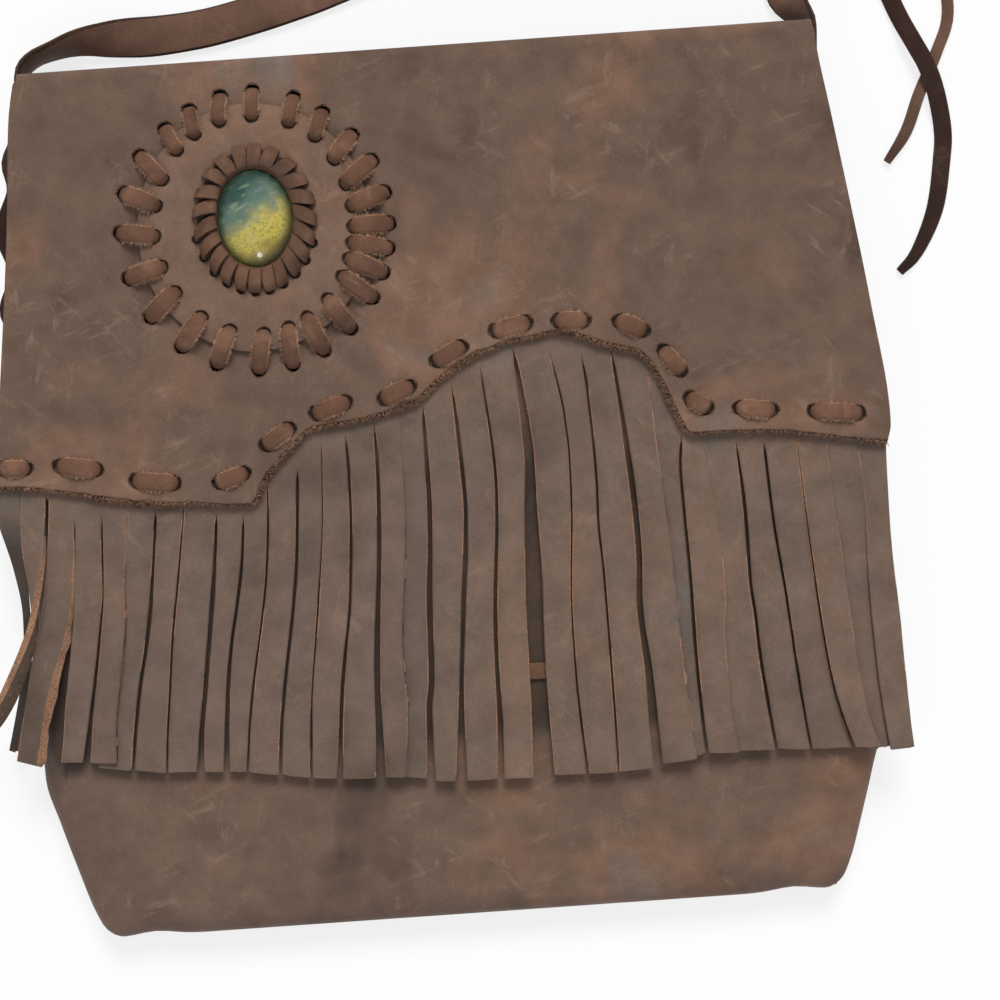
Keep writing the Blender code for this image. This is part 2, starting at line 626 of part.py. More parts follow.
def lashing(name, side, depth):
    """Lace through gusset and strap end with a flat turn on each face."""
    face = body_half(depth)
    inside = face - LEATHER - CLEARANCE
    outside = face + STRAP_THICKNESS + 2 * CLEARANCE
    web = LASHING_WEB / 2
    half = LASHING_LENGTH / 2
    thick = LACE_THICKNESS
    profile = [(inside - thick, -half), (inside, -half), (inside, -web), (outside, -web),
               (outside, -half), (outside + thick, -half), (outside + thick, half),
               (outside, half), (outside, web), (inside, web), (inside, half),
               (inside - thick, half)]
    bm = bmesh.new()
    plate(bm, [(side * x, y + y_at(depth)) for x, y in profile], [], LASHING_FLOOR,
          LASHING_FLOOR + LASHING_HEIGHT)
    return finish(name, bm, LACE_BROWN, 0.75)


def tie_knot():
    """Knot of the right-hand tie against the strap's outer face."""
    seat = max(p[0] for p in strap_line() if p[1] > 0)
    bm = bmesh.new()
    bmesh.ops.create_icosphere(bm, subdivisions=2, radius=KNOT_RADIUS)
    middle = Vector((seat + STRAP_THICKNESS / 2 + KNOT_RADIUS + CLEARANCE, FOLD_Y + 0.068,
                     KNOT_RADIUS + CLEARANCE))
    bmesh.ops.translate(bm, verts=bm.verts[:], vec=middle)
    return finish("tie_knot", bm, LACE_BROWN, 0.75)


def tie(name, points, colour):
    """Loose lace as a round cord along a smooth curve."""
    line = smooth(points, TIE_STEPS)
    curve = bpy.data.curves.new(name, "CURVE")
    curve.dimensions = "3D"
    curve.bevel_depth = TIE_DIAMETER / 2
    curve.bevel_resolution = 2
    curve.use_fill_caps = True
    spline = curve.splines.new("POLY")
    spline.points.add(len(line) - 1)
    for point, (x, above, level) in zip(spline.points, line):
        point.co = (x, FOLD_Y + above, level, 1.0)
    curve.materials.append(material(name, colour, 0.6))
    made = bpy.data.objects.new(name, curve)
    bpy.context.collection.objects.link(made)
    return made


def flap_group():
    """Everything that opens with the flap, under one empty on the hinge line."""
    hinge = bpy.data.objects.new("flap_hinge", None)
    hinge.location = (0, HINGE_Y, HINGE_Z)
    bpy.context.collection.objects.link(hinge)
    for made in (flap_panel(), fringe(), edge_lacing(), medallion_disc(), disc_lacing(),
                 cabochon(), stone_ring()):
        made.parent = hinge
        made.matrix_parent_inverse = Matrix.Translation(-hinge.location)


def body_group():
    """The bag's own pieces, the strap and its ties."""
    slots = lashing_slots()
    back_panel()
    front_panel()
    cut(gusset(), slots)
    closure_thong()
    strap()
    for side, word in ((-1, "left"), (1, "right")):
        for number, depth in enumerate(LASHING_DEPTHS, 1):
            lashing(f"lashing_{word}_{number}", side, depth)
    tie_knot()
    tie("tie_lace_long", LONG_TIE, DARK_BROWN)
    tie("tie_lace_short", SHORT_TIE, LACE_BROWN)
    tie("tie_lace_left", LEFT_TIE, DARK_BROWN)


body_group()
flap_group()
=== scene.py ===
# %% [markdown]
# # A fringed leather bag with a stone on its flap
# The bag is a flat pouch of thick, smooth brown leather. One hide makes the back, folds over
# the top and comes down in front as a flap with a wavy edge. A fringe of cut strips hangs from
# under that edge, and a leather disc with a stone in its middle is laced to the flap.
# The CAD model gives the frame that everything here has to fit.

# %% Load the frame
import math
import random

import bpy
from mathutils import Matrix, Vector, noise


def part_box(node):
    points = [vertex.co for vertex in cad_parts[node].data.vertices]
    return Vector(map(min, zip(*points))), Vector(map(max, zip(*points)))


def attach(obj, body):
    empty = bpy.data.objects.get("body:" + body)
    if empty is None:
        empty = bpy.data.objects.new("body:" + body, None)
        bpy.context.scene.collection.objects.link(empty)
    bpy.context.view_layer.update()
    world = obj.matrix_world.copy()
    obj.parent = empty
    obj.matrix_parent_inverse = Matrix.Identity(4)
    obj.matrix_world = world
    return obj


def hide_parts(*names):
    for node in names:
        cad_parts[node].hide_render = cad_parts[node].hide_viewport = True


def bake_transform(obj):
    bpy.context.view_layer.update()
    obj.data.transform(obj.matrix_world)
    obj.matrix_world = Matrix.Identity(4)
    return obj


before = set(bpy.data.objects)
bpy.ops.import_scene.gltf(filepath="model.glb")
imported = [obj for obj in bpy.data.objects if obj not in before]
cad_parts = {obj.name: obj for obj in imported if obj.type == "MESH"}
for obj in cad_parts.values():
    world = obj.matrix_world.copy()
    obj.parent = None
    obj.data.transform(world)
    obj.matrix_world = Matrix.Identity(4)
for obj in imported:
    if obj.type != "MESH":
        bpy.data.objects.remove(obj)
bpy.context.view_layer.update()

# %% [markdown]
# ## One way of giving a place
# The bag lies on its back, its top edge towards +Y. It is easiest to measure as a maker does:
# so far across from the middle, so far down from the top fold, so high above the table, all in
# millimetres. `spot` turns that into the frame's metres, and `along` reads a smooth line
# through a few measured pairs, without swinging past them.

# %% Helpers for places
TOP = 0.1625


def spot(x, down, height):
    return Vector((x / 1000, TOP - down / 1000, height / 1000))


def along(table, where):
    if where <= table[0][0]:
        return table[0][1]
    if where >= table[-1][0]:
        return table[-1][1]
    i = max(j for j in range(len(table) - 1) if table[j][0] <= where)
    slopes = [(b[1] - a[1]) / (b[0] - a[0]) for a, b in zip(table, table[1:])]

    def lean(j):
        if j == 0 or j == len(slopes):
            return slopes[min(j, len(slopes) - 1)]
        a, b = slopes[j - 1], slopes[j]
        return 2 * a * b / (a + b) if a * b > 0 else 0

    span = table[i + 1][0] - table[i][0]
    t = (where - table[i][0]) / span
    return ((2 * t ** 3 - 3 * t ** 2 + 1) * table[i][1] + (t ** 3 - 2 * t ** 2 + t) * lean(i) * span
            + (3 * t ** 2 - 2 * t ** 3) * table[i + 1][1] + (t ** 3 - t ** 2) * lean(i + 1) * span)


def ease(a, b, value):
    t = min(1, max(0, (value - a) / (b - a)))
    return t * t * (3 - 2 * t)


def rough(x, y, size, seed=0):
    return noise.noise(Vector((x / size, y / size, seed * 7.3)))


print("the fold lies at Y", TOP)

# %% [markdown]
# ## The camera
# The photograph looks straight down on the bag, which lies four degrees askew. A long lens a
# good way up keeps the sides as square as they look there.

# %% Camera
camera_data = bpy.data.cameras.new("Camera")
camera_data.lens = 85
camera_data.sensor_width = 36
camera = bpy.data.objects.new("Camera", camera_data)
bpy.context.scene.collection.objects.link(camera)
camera.location = (0.0202, -0.0075, 0.90)
camera.rotation_euler = (0, 0, math.radians(-4.0))
bpy.context.scene.camera = camera
bpy.context.scene.view_settings.view_transform = "Standard"
print("camera at", tuple(round(v, 4) for v in camera.location))

# %% [markdown]
# ## Leather, as nodes
# Smooth dyed leather is never one colour: it has wide clouds where the dye took differently, a
# fine grain, and pale scuffs where it was rubbed. Each is one noise at its own size, in the
# object's own coordinates, so that the pattern stays on the leather. The cut edge and the
# underside are raw: browner, rough and full of short fibres.

# %% Node helpers
def linear(value):
    return ((value / 255 + 0.055) / 1.055) ** 2.4 if value > 10 else value / 3295


def tone(red, green, blue):
    return (linear(red), linear(green), linear(blue), 1)


def blank(name):
    material = bpy.data.materials.new(name)
    material.use_nodes = True
    tree = material.node_tree
    return material, tree, tree.nodes["Principled BSDF"]


def add(tree, kind, **values):
    made = tree.nodes.new(kind)
    for key, value in values.items():
        if key in made.inputs:
            made.inputs[key].default_value = value
        else:
            setattr(made, key, value)
    return made


def noise_of(tree, scale, detail=3.0, roughness=0.5, stretch=None, turn=0.0):
    place = add(tree, "ShaderNodeTexCoord").outputs["Object"]
    if stretch:
        mapping = add(tree, "ShaderNodeMapping", vector_type="TEXTURE")
        mapping.inputs["Scale"].default_value = stretch
        mapping.inputs["Rotation"].default_value = (0, 0, turn)
        tree.links.new(place, mapping.inputs["Vector"])
        place = mapping.outputs["Vector"]
    made = add(tree, "ShaderNodeTexNoise", Scale=scale, Detail=detail, Roughness=roughness)
    tree.links.new(place, made.inputs["Vector"])
    return made.outputs["Fac"]


def ramp(tree, value, stops):
    made = add(tree, "ShaderNodeValToRGB")
    elements = made.color_ramp.elements
    while len(elements) < len(stops):
        elements.new(0.5)
    for element, (place, colour) in zip(elements, stops):
        element.position = place
        element.color = colour
    tree.links.new(value, made.inputs["Fac"])
    return made.outputs["Color"]


def feed(tree, socket, value):
    if isinstance(value, bpy.types.NodeSocket):
        tree.links.new(value, socket)
    else:
        socket.default_value = value


def blend_in(tree, kind, amount, first, second):
    made = add(tree, "ShaderNodeMix", data_type="RGBA", blend_type=kind)
    feed(tree, made.inputs[0], amount)
    feed(tree, made.inputs[6], first)
    feed(tree, made.inputs[7], second)
    return made.outputs[2]


def times(tree, first, second):
    return blend_in(tree, "MULTIPLY", 1.0, first, second)


def sums(tree, kind, first, second):
    made = add(tree, "ShaderNodeMath", operation=kind)
    feed(tree, made.inputs[0], first)
    feed(tree, made.inputs[1], second)
    return made.outputs[0]


def grey(value):
    return (value, value, value, 1)


def greys(tree, value, low, dark, high, light):
    return ramp(tree, value, [(low, grey(dark)), (high, grey(light))])


print("node helpers ready")

# %% Leather finishes
SCUFF = tone(148, 124, 108)
# Ramp for the tint attribute: 0.5 leaves the leather as it is and 1 lightens it; the low end is painted
# shade, used under the fringe and on the darker strips.
TONE_AND_SHADE_STOPS = ((0.0, (0.38, 0.42, 0.44, 1)), (0.22, (0.80, 0.87, 0.92, 1)), (0.5, grey(1.0)),
              (1.0, (1.14, 1.05, 1.0, 1)))


def leather(name, tones, grain=0.25, roughness=0.62, scuffs=0.5, tinted=False, cloud=17.0):
    material, tree, shader = blank(name)
    dark, plain, warm, cool = (tone(*parts) for parts in tones)
    colour = ramp(tree, noise_of(tree, cloud, 4.0, 0.55),
                  [(0.30, dark), (0.43, plain), (0.53, plain), (0.63, warm), (0.76, cool)])
    patches = greys(tree, noise_of(tree, 75, 5.0, 0.62), 0.30, 0.80, 0.70, 1.17)
    colour = times(tree, colour, patches)
    pores = greys(tree, noise_of(tree, 1300, 3.0, 0.7), 0.3, 0.88, 0.7, 1.11)
    colour = times(tree, colour, pores)
    scattered_patches = greys(tree, noise_of(tree, 24, 3.0, 0.55), 0.44, 0.2, 0.60, 1.0)
    for turn, length in ((0.35, 4.5), (-0.8, 3.5), (1.4, 3.0)):
        streaky = noise_of(tree, 190, 6.0, 0.72, (length, 1, 1), turn)
        streak = times(tree, greys(tree, streaky, 0.58, 0, 0.72, scuffs), scattered_patches)
        colour = blend_in(tree, "MIX", streak, colour, SCUFF)
    if tinted:
        # The tint attribute carries tone and painted shade.
        own = add(tree, "ShaderNodeAttribute", attribute_name="tint").outputs["Fac"]
        colour = times(tree, colour, ramp(tree, own, TONE_AND_SHADE_STOPS))
    tree.links.new(colour, shader.inputs["Base Color"])
    rub = greys(tree, noise_of(tree, 40, 3.0), 0.3, roughness - 0.08, 0.7, roughness + 0.10)
    tree.links.new(rub, shader.inputs["Roughness"])
    shader.inputs["Specular IOR Level"].default_value = 0.32
    bump = add(tree, "ShaderNodeBump", Strength=grain, Distance=0.0004)
    tree.links.new(noise_of(tree, 1500, 4.0, 0.65), bump.inputs["Height"])
    crease = add(tree, "ShaderNodeBump", Strength=0.35, Distance=0.0012)
    tree.links.new(noise_of(tree, 130, 5.0, 0.6), crease.inputs["Height"])
    tree.links.new(bump.outputs["Normal"], crease.inputs["Normal"])
    tree.links.new(crease.outputs["Normal"], shader.inputs["Normal"])
    return material


def suede(name, dark, light, specks, scale=1500):
    material, tree, shader = blank(name)
    colour = ramp(tree, noise_of(tree, 60, 4.0, 0.6), [(0.3, tone(*dark)), (0.7, tone(*light))])
    flecks = ramp(tree, noise_of(tree, scale, 3.0, 0.75),
                  [(0.36, grey(0.55)), (0.5, grey(1.0)), (0.66, grey(1.35))])
    colour = times(tree, colour, flecks)
    pale = greys(tree, noise_of(tree, scale * 0.8, 2.0, 0.6), 0.60, 0, 0.72, 0.8)
    colour = blend_in(tree, "MIX", pale, colour, tone(*specks))
    tree.links.new(colour, shader.inputs["Base Color"])
    shader.inputs["Roughness"].default_value = 0.95
    shader.inputs["Specular IOR Level"].default_value = 0.12
    shader.inputs["Sheen Weight"].default_value = 0.15
    bump = add(tree, "ShaderNodeBump", Strength=0.8, Distance=0.0006)
    tree.links.new(noise_of(tree, scale, 4.0, 0.75), bump.inputs["Height"])
    tree.links.new(bump.outputs["Normal"], shader.inputs["Normal"])
    return material


HIDE_TONES = ((81, 65, 56), (104, 83, 71), (121, 92, 75), (112, 97, 88))
DISC_TONES = ((92, 72, 60), (115, 91, 77), (129, 98, 80), (117, 99, 88))
FRINGE_TONES = ((92, 76, 66), (107, 90, 79), (113, 92, 79), (107, 96, 89))
LACE_TONES = ((88, 61, 47), (105, 75, 59), (121, 88, 70), (111, 83, 67))
RING_TONES = ((86, 61, 47), (103, 75, 59), (117, 86, 68), (107, 80, 65))
DARK_TONES = ((40, 25, 22), (50, 32, 27), (60, 38, 32), (56, 40, 34))
STRAP_TONES = ((80, 58, 47), (106, 79, 65), (120, 90, 74), (110, 88, 75))
hide_leather = leather("Smooth brown hide", HIDE_TONES)
front_leather_painted_shade = leather("Front hide with painted shade", HIDE_TONES, tinted=True)
disc_leather = leather("Disc hide", DISC_TONES)
fringe_leather = leather("Fringe hide", FRINGE_TONES, tinted=True, scuffs=0.35)
lace_leather = leather("Tan lacing", LACE_TONES, grain=0.45, roughness=0.70, scuffs=0.4, cloud=60)
ring_leather = leather("Ring lacing", RING_TONES, grain=0.45, roughness=0.66, scuffs=0.3, cloud=90)
dark_leather = leather("Dark tie lace", DARK_TONES, grain=0.4, roughness=0.58, scuffs=0.12, cloud=60)
strap_leather = leather("Strap leather", STRAP_TONES, grain=0.35, roughness=0.58, scuffs=0.3, cloud=30)
raw_edge = suede("Raw cut edge", (92, 66, 52), (132, 98, 76), (170, 130, 104))
# A darker copy of the cut edge: the edge colour of the dark laces, and painted shade where a cut edge
# lies in shade, as on the walls between fringe strips and deep in the holes.
dark_edge_and_shade = suede("Dark cut edge and painted shade", (46, 31, 24), (74, 51, 39), (112, 82, 62))
# A paler copy of the cut edge: painted highlight where a cut edge catches the light.
lit_edge = suede("Pale cut edge with painted highlight", (128, 94, 72), (164, 124, 97), (196, 158, 128))
flesh_side = suede("Flesh side", (104, 82, 66), (130, 104, 86), (150, 124, 104), 900)
pale_fibre = suede("Loose fibres", (146, 112, 88), (176, 140, 112), (200, 168, 140))
print("finishes:", len(bpy.data.materials))

# %% [markdown]
# ## Laces, thongs and straps
# A thong is a narrow flat strip that lies along a line. Its cross-section is carried along that
# line: a slightly domed top, round edges, a flat underside. Each section keeps its own width and
# roll, so a lace can pinch in a hole, taper at its tip or stand on its edge.

# %% A strip of leather along a line
SECTION = ((-1, 0.0), (-0.89, 0.66), (-0.6, 0.95), (0, 1.0), (0.6, 0.95), (0.89, 0.66), (1, 0.0),
           (0.9, -0.8), (0.45, -1.0), (-0.45, -1.0), (-0.9, -0.8))
SECTION_RIM = (0, 5, 6, 10)


class Parts:
    """Points and faces of one piece, with a finish number for each face."""

    def __init__(self):
        self.points, self.faces, self.kinds = [], [], []

    def face(self, corners, kind=0):
        self.faces.append(corners)
        self.kinds.append(kind)

    def build(self, name, finishes, smooth=40):
        mesh = bpy.data.meshes.new(name)
        mesh.from_pydata([tuple(p) for p in self.points], [], self.faces)
        for finish in finishes:
            mesh.materials.append(finish)
        mesh.polygons.foreach_set("material_index", self.kinds)
        made = bpy.data.objects.new(name, mesh)
        bpy.context.scene.collection.objects.link(made)
        only(made)
        bpy.ops.object.shade_smooth_by_angle(angle=math.radians(smooth))
        return made


def only(piece):
    bpy.ops.object.select_all(action="DESELECT")
    piece.select_set(True)
    bpy.context.view_layer.objects.active = piece


def face_outward(piece):
    only(piece)
    bpy.ops.object.mode_set(mode="EDIT")
    bpy.ops.mesh.select_all(action="SELECT")
    bpy.ops.mesh.normals_make_consistent(inside=False)
    bpy.ops.object.mode_set(mode="OBJECT")


def smooth_route(points, step=0.0025):
    line = []
    padded = [2 * points[0] - points[1]] + list(points) + [2 * points[-1] - points[-2]]
    for a, b, c, d in zip(padded, padded[1:], padded[2:], padded[3:]):
        count = max(1, round((c - b).length / step))
        for i in range(count):
            t = i / count
            line.append(0.5 * (2 * b + (c - a) * t + (2 * a - 5 * b + 4 * c - d) * t ** 2
                               + (3 * b - a - 3 * c + d) * t ** 3))
    return line + [points[-1]]


def strip(parts, line, across, widths, thickness, edge_kind=1, dome=0.0):
    first = len(parts.points)
    count = len(SECTION)
    for i, centre in enumerate(line):
        ahead = (line[min(i + 1, len(line) - 1)] - line[max(i - 1, 0)]).normalized()
        side = (across[i] - ahead * across[i].dot(ahead)).normalized()
        up = ahead.cross(side)
        for a, h in SECTION:
            lift = h * thickness[i] / 2 + dome * widths[i] * (1 - a * a)
            parts.points.append(centre + side * (a * widths[i] / 2) + up * lift)
    for i in range(len(line) - 1):
        for j in range(count):
            k = (j + 1) % count
            a, b = first + i * count, first + (i + 1) * count
            kind = edge_kind if j in SECTION_RIM else 0
            parts.face((a + j, b + j, b + k, a + k), kind)
    parts.face(tuple(first + j for j in range(count)), edge_kind)
    last = first + (len(line) - 1) * count
    parts.face(tuple(last + j for j in reversed(range(count))), edge_kind)


def level_across(line, rolls=None):
    sides = []
    for i in range(len(line)):
        ahead = line[min(i + 1, len(line) - 1)] - line[max(i - 1, 0)]
        flat = Vector((ahead.x, ahead.y, 0)).normalized()
        side = Vector((-flat.y, flat.x, 0))
        turn = math.radians(rolls[i]) if rolls else 0
        sides.append(side * math.cos(turn) + Vector((0, 0, 1)) * math.sin(turn))
    return sides


def fibre(parts, root, way, length, thick, kind):
    """A three-sided spike from its root."""
    side = way.orthogonal().normalized() * thick
    other = way.cross(side).normalized() * thick
    first = len(parts.points)
    parts.points += [root + side, root - side * 0.5 + other * 0.87,
                     root - side * 0.5 - other * 0.87, root + way.normalized() * length]
    for a, b, c in ((0, 1, 3), (1, 2, 3), (2, 0, 3), (2, 1, 0)):
        parts.face((first + a, first + b, first + c), kind)


def line_length(line):
    return sum((b - a).length for a, b in zip(line, line[1:]))


print("strip section points:", len(SECTION))

# %% [markdown]
# ## The loose tie laces
# Two laces leave a knot at the right edge and lie on the table beside the bag: a long dark one
# with a tapered tip, and a shorter one that stands half on its edge. A third hangs out at the
# left. They follow the same routes as the CAD laces, only flat, as leather lace is cut.

# %% Tie laces
LACE_THICK = 0.0017
LOW = 1.3


def lay_lace(name, route, widths, rolls, finish, edge):
    line = smooth_route([spot(x, -above, height) for x, above, height in route])
    share = [i / (len(line) - 1) for i in range(len(line))]
    wide = [along(widths, s) / 1000 for s in share]
    turned = [along(rolls, s) for s in share]
    parts = Parts()
    thick = [LACE_THICK * min(1, w / 0.003) for w in wide]
    strip(parts, line, level_across(line, turned), wide, thick)
    lace = parts.build(name, [finish, edge])
    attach(lace, "bag")
    print(name, "is", round(line_length(line) * 1000), "mm long")
    return lace


long_tie = lay_lace("long_tie", (
    (166.7, 63.0, 1.9), (168.8, 52.0, 1.5), (172.8, 36.0, LOW), (178.2, 20.0, LOW),
    (184.0, 4.0, 1.6), (189.0, -8.0, 4.3), (193.0, -17.0, 5.2), (196.0, -27.0, 4.0),
    (198.0, -41.0, 1.8), (197.0, -52.0, LOW), (193.0, -71.0, LOW), (185.0, -87.0, LOW),
    (178.0, -94.0, LOW)),
    ((0, 4.0), (0.1, 6.2), (0.3, 7.0), (0.8, 6.6), (0.92, 5.2), (1, 3.4)),
    ((0, 20), (0.2, 5), (0.5, 0), (0.75, 8), (1, 0)), dark_leather, dark_edge_and_shade)
short_tie = lay_lace("short_tie", (
    (171.3, 68.4, 2.0), (183.0, 63.0, 2.2), (194.0, 45.0, 2.2), (201.0, 24.0, 2.2), (203.0, 3.0, 2.0),
    (197.5, -12.0, 1.8), (190.0, -27.0, 1.8), (184.0, -41.0, 1.8), (176.0, -52.0, 1.6)),
    ((0, 3.6), (0.1, 5.0), (0.9, 4.6), (1, 3.0)),
    ((0, 20), (0.3, 35), (0.6, 30), (0.8, 15), (1, 5)), strap_leather, raw_edge)
left_tie = lay_lace("left_tie", (
    (-152.9, -12.0, 1.9), (-153.2, -19.0, 2.2), (-158.0, -29.0, 2.0), (-156.4, -40.0, 2.0),
    (-162.0, -55.0, 1.8), (-158.2, -71.0, 1.8), (-162.5, -84.0, 1.6), (-161.5, -92.0, 1.5)),
    ((0, 3.6), (0.1, 4.8), (0.9, 4.8), (1, 2.6)),
    ((0, 0), (0.2, 25), (0.45, -15), (0.7, 20), (1, 0)), dark_leather, dark_edge_and_shade)
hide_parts("tie_lace_long")
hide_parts("tie_lace_short")
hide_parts("tie_lace_left")

# %% [markdown]
# ## A sheet of leather
# A sheet starts as a grid of points on its good side. Solidify gives it the wall of real
# leather, with the raw edge and the flesh side as finishes of their own. Where the knife ran
# slanting, the lower rim stands out a little, so that the raw edge is seen from above. A small
# bevel takes the sharpness off the cut.

# %% A sheet of leather from a grid
SMOOTH_SHEET = math.radians(42)


def grid_faces(rows, columns):
    faces = []
    for r in range(rows - 1):
        for a in range(r * columns, (r + 1) * columns - 1):
            faces.append((a, a + columns, a + columns + 1, a + 1))
    return faces


def leather_sheet(name, points, faces, finishes, wall, slants=None, soften=0.0004, tints=None,
                  merge=False, rim_finish=-1, clamped=True):
    mesh = bpy.data.meshes.new(name)
    mesh.from_pydata([tuple(p) for p in points], [], faces)
    for finish in finishes:
        mesh.materials.append(finish)
    if tints:
        layer = mesh.attributes.new("tint", "FLOAT", "POINT")
        layer.data.foreach_set("value", tints)
    sheet = bpy.data.objects.new(name, mesh)
    bpy.context.scene.collection.objects.link(sheet)
    only(sheet)
    if merge:
        bpy.ops.object.mode_set(mode="EDIT")
        bpy.ops.mesh.select_all(action="SELECT")
        bpy.ops.mesh.remove_doubles(threshold=0.00001)
        bpy.ops.object.mode_set(mode="OBJECT")
    solid = sheet.modifiers.new("wall", "SOLIDIFY")
    solid.thickness = wall
    solid.offset = -1
    solid.material_offset_rim = 1
    solid.material_offset = 2
    bpy.ops.object.modifier_apply(modifier="wall")
    for index, push in (slants or {}).items():
        sheet.data.vertices[index + len(points)].co += push
    if soften:
        bevel = sheet.modifiers.new("soft edge", "BEVEL")
        bevel.width = soften
        bevel.segments = 2
        bevel.use_clamp_overlap = clamped
        bevel.limit_method = "ANGLE"
        bevel.angle_limit = math.radians(50)
        bevel.material = rim_finish
        bpy.ops.object.modifier_apply(modifier="soft edge")
    bpy.ops.object.shade_smooth_by_angle(angle=SMOOTH_SHEET)
    return sheet


def paint_rim_highlight(sheet):
    """Painted highlight: pale where a slanting cut faces up; where the lip is pale already, only in
    places.
    """
    sheet.data.update()
    lip_only = any(face.material_index == 3 for face in sheet.data.polygons)
    for face in sheet.data.polygons:
        if not lip_only and face.material_index == 1 and face.normal.z > 0.2:
            face.material_index = 3
        elif lip_only and face.material_index == 3:
            middle = face.center * 1000
            if rough(middle.x, middle.y * 0.25, 9, 51) < -0.08:
                face.material_index = 0


HOLE_SIDES = 16
HOLE_LEVELS = ((-0.006, 0), (-0.0005, 0), (0.0001, 0.0004), (0.004, 0.00045))


def punch(sheet, holes, radius=0.0027):
    """Cut round holes; each centre is given on the good side, and the lip there is opened wider."""
    parts = Parts()
    for number, centre in enumerate(holes):
        first = len(parts.points)
        for level, wider in HOLE_LEVELS:
            for k in range(HOLE_SIDES):
                turn = math.tau * k / HOLE_SIDES
                uneven = 1 + 0.05 * math.sin(2 * turn + number) + 0.03 * math.sin(5 * turn + number)
                out = (radius + wider) * uneven
                parts.points.append(centre + Vector((out * math.cos(turn), out * math.sin(turn), level)))
        # The wall takes the dark edge deep in the hole and the raw edge at its lip: painted shade inside
        # the hole.
        for ring in range(3):
            for k in range(HOLE_SIDES):
                a = first + ring * HOLE_SIDES + k
                b = first + ring * HOLE_SIDES + (k + 1) % HOLE_SIDES
                parts.face((a, b, b + HOLE_SIDES, a + HOLE_SIDES), 1 if ring else 0)
        parts.face(tuple(first + k for k in reversed(range(HOLE_SIDES))), 0)
        parts.face(tuple(first + 3 * HOLE_SIDES + k for k in range(HOLE_SIDES)), 0)
    cutter = parts.build(sheet.name + "_cutter", [dark_edge_and_shade, raw_edge])
    only(sheet)
    cut = sheet.modifiers.new("holes", "BOOLEAN")
    cut.operation = "DIFFERENCE"
    cut.solver = "EXACT"
    cut.use_self = sheet.name == "disc"
    cut.material_mode = "TRANSFER"
    cut.object = cutter
    bpy.ops.object.modifier_apply(modifier="holes")
    bpy.data.objects.remove(cutter, do_unlink=True)
    bpy.ops.object.shade_smooth_by_angle(angle=SMOOTH_SHEET)
    print(sheet.name, "has", len(holes), "holes,", len(sheet.data.polygons), "faces")


print("sheet helpers ready")

# %% [markdown]
# ## The shape of the flap
# The flap's sides, its wavy lower edge and the places of the stitches along it are measured
# down from the fold. The flap isn't quite flat: it rises a little in soft waves, and it dips
# round each punched hole.

# %% Measures of the flap
WAVE = ((-168, 152.3), (-153, 153.1), (-138.5, 155.6), (-123.7, 158.8), (-103.5, 162.1),
        (-88, 163.4), (-71.5, 165.1), (-67.1, 156.5), (-61.8, 150.2), (-55.9, 144.3), (-48.1, 138.5),
        (-34.9, 136.5), (-21.8, 134.4), (-10.5, 131.5), (1.3, 122.3), (12.9, 115.7), (24.3, 111.7),
        (39.3, 109.4), (46.7, 108.8), (61.2, 113.5), (75.7, 118.3), (80.9, 124.2), (85.1, 133.7),
        (88.5, 142.5), (92.1, 149.8), (110.6, 150.4), (129, 151.7), (143.7, 154.5), (166, 157.8))
LEFT_SIDE = ((0, 147.9), (17, 151.2), (47, 153.7), (83, 157.4), (120, 161.8), (152, 165.9))
RIGHT_SIDE = ((0, 147.8), (8, 148.3), (35, 152.1), (61, 155.8), (106, 161.9), (149, 166.3),
              (152, 166.2), (158, 164.6))
STITCHES = ((-158.0, 146.0), (-134.4, 147.3), (-106.3, 154.5), (-78.2, 154.9), (-60.1, 141.0),
            (-39.8, 131.7), (-15.1, 127.8), (5.1, 114.8), (28.7, 106.4), (51.0, 105.8),
            (73.0, 109.2), (87.3, 123.1), (95.8, 139.3), (116.7, 143.0), (146.5, 146.2))
STITCH_HALVES = (4.4, 6.9, 7.2, 5.0, 5.3, 6.0, 5.3, 5.3, 6.0, 4.9, 4.9, 4.9, 3.7, 6.0, 8.2)
DISC_MIDDLE = (-63.2, 63.5)
DISC_HALF = (43.2, 45.8)
DISC_STITCHES = (
    (86.9, 0), (67.5, 10), (52.5, 18), (36.8, 14), (22.8, 16), (9.6, 10), (-2.5, 4), (-12, 0),
    (-21.6, -4), (-32.4, -6), (-47.8, -8), (-62.7, -4), (-76.2, -12), (-90.8, -12), (-109.4, -7),
    (-126.6, -3), (-145.3, 4), (-162.4, -4), (-180.4, -10), (-196.7, -9), (-212.4, -17),
    (-228.9, -15), (-242, -18), (-257, -18))
FLAP_LEVEL = 27.9


def stitch_ends(i):
    x, down = STITCHES[i]
    before, after = STITCHES[max(0, i - 1)], STITCHES[min(len(STITCHES) - 1, i + 1)]
    way = Vector((after[0] - before[0], after[1] - before[1])).normalized()
    return Vector((x, down)) - way * STITCH_HALVES[i], Vector((x, down)) + way * STITCH_HALVES[i]


def disc_stitch_ends(i):
    """The stitches at the disc's top are shorter than the others."""
    angle, lean = DISC_STITCHES[i]
    angle, turned = math.radians(angle), math.radians(angle + lean)
    rim = Vector((DISC_MIDDLE[0] + DISC_HALF[0] * math.cos(angle),
                  DISC_MIDDLE[1] - DISC_HALF[1] * math.sin(angle)))
    way = Vector((math.cos(turned), -math.sin(turned)))
    half = 6.7 - 1.9 * ease(0.45, 0.75, math.sin(angle))
    return rim + way * half, rim - way * half


edge_holes = [end for i in range(len(STITCHES)) for end in stitch_ends(i)]
outer_holes = [disc_stitch_ends(i)[0] for i in range(len(DISC_STITCHES))]
inner_holes = [disc_stitch_ends(i)[1] for i in range(len(DISC_STITCHES))]


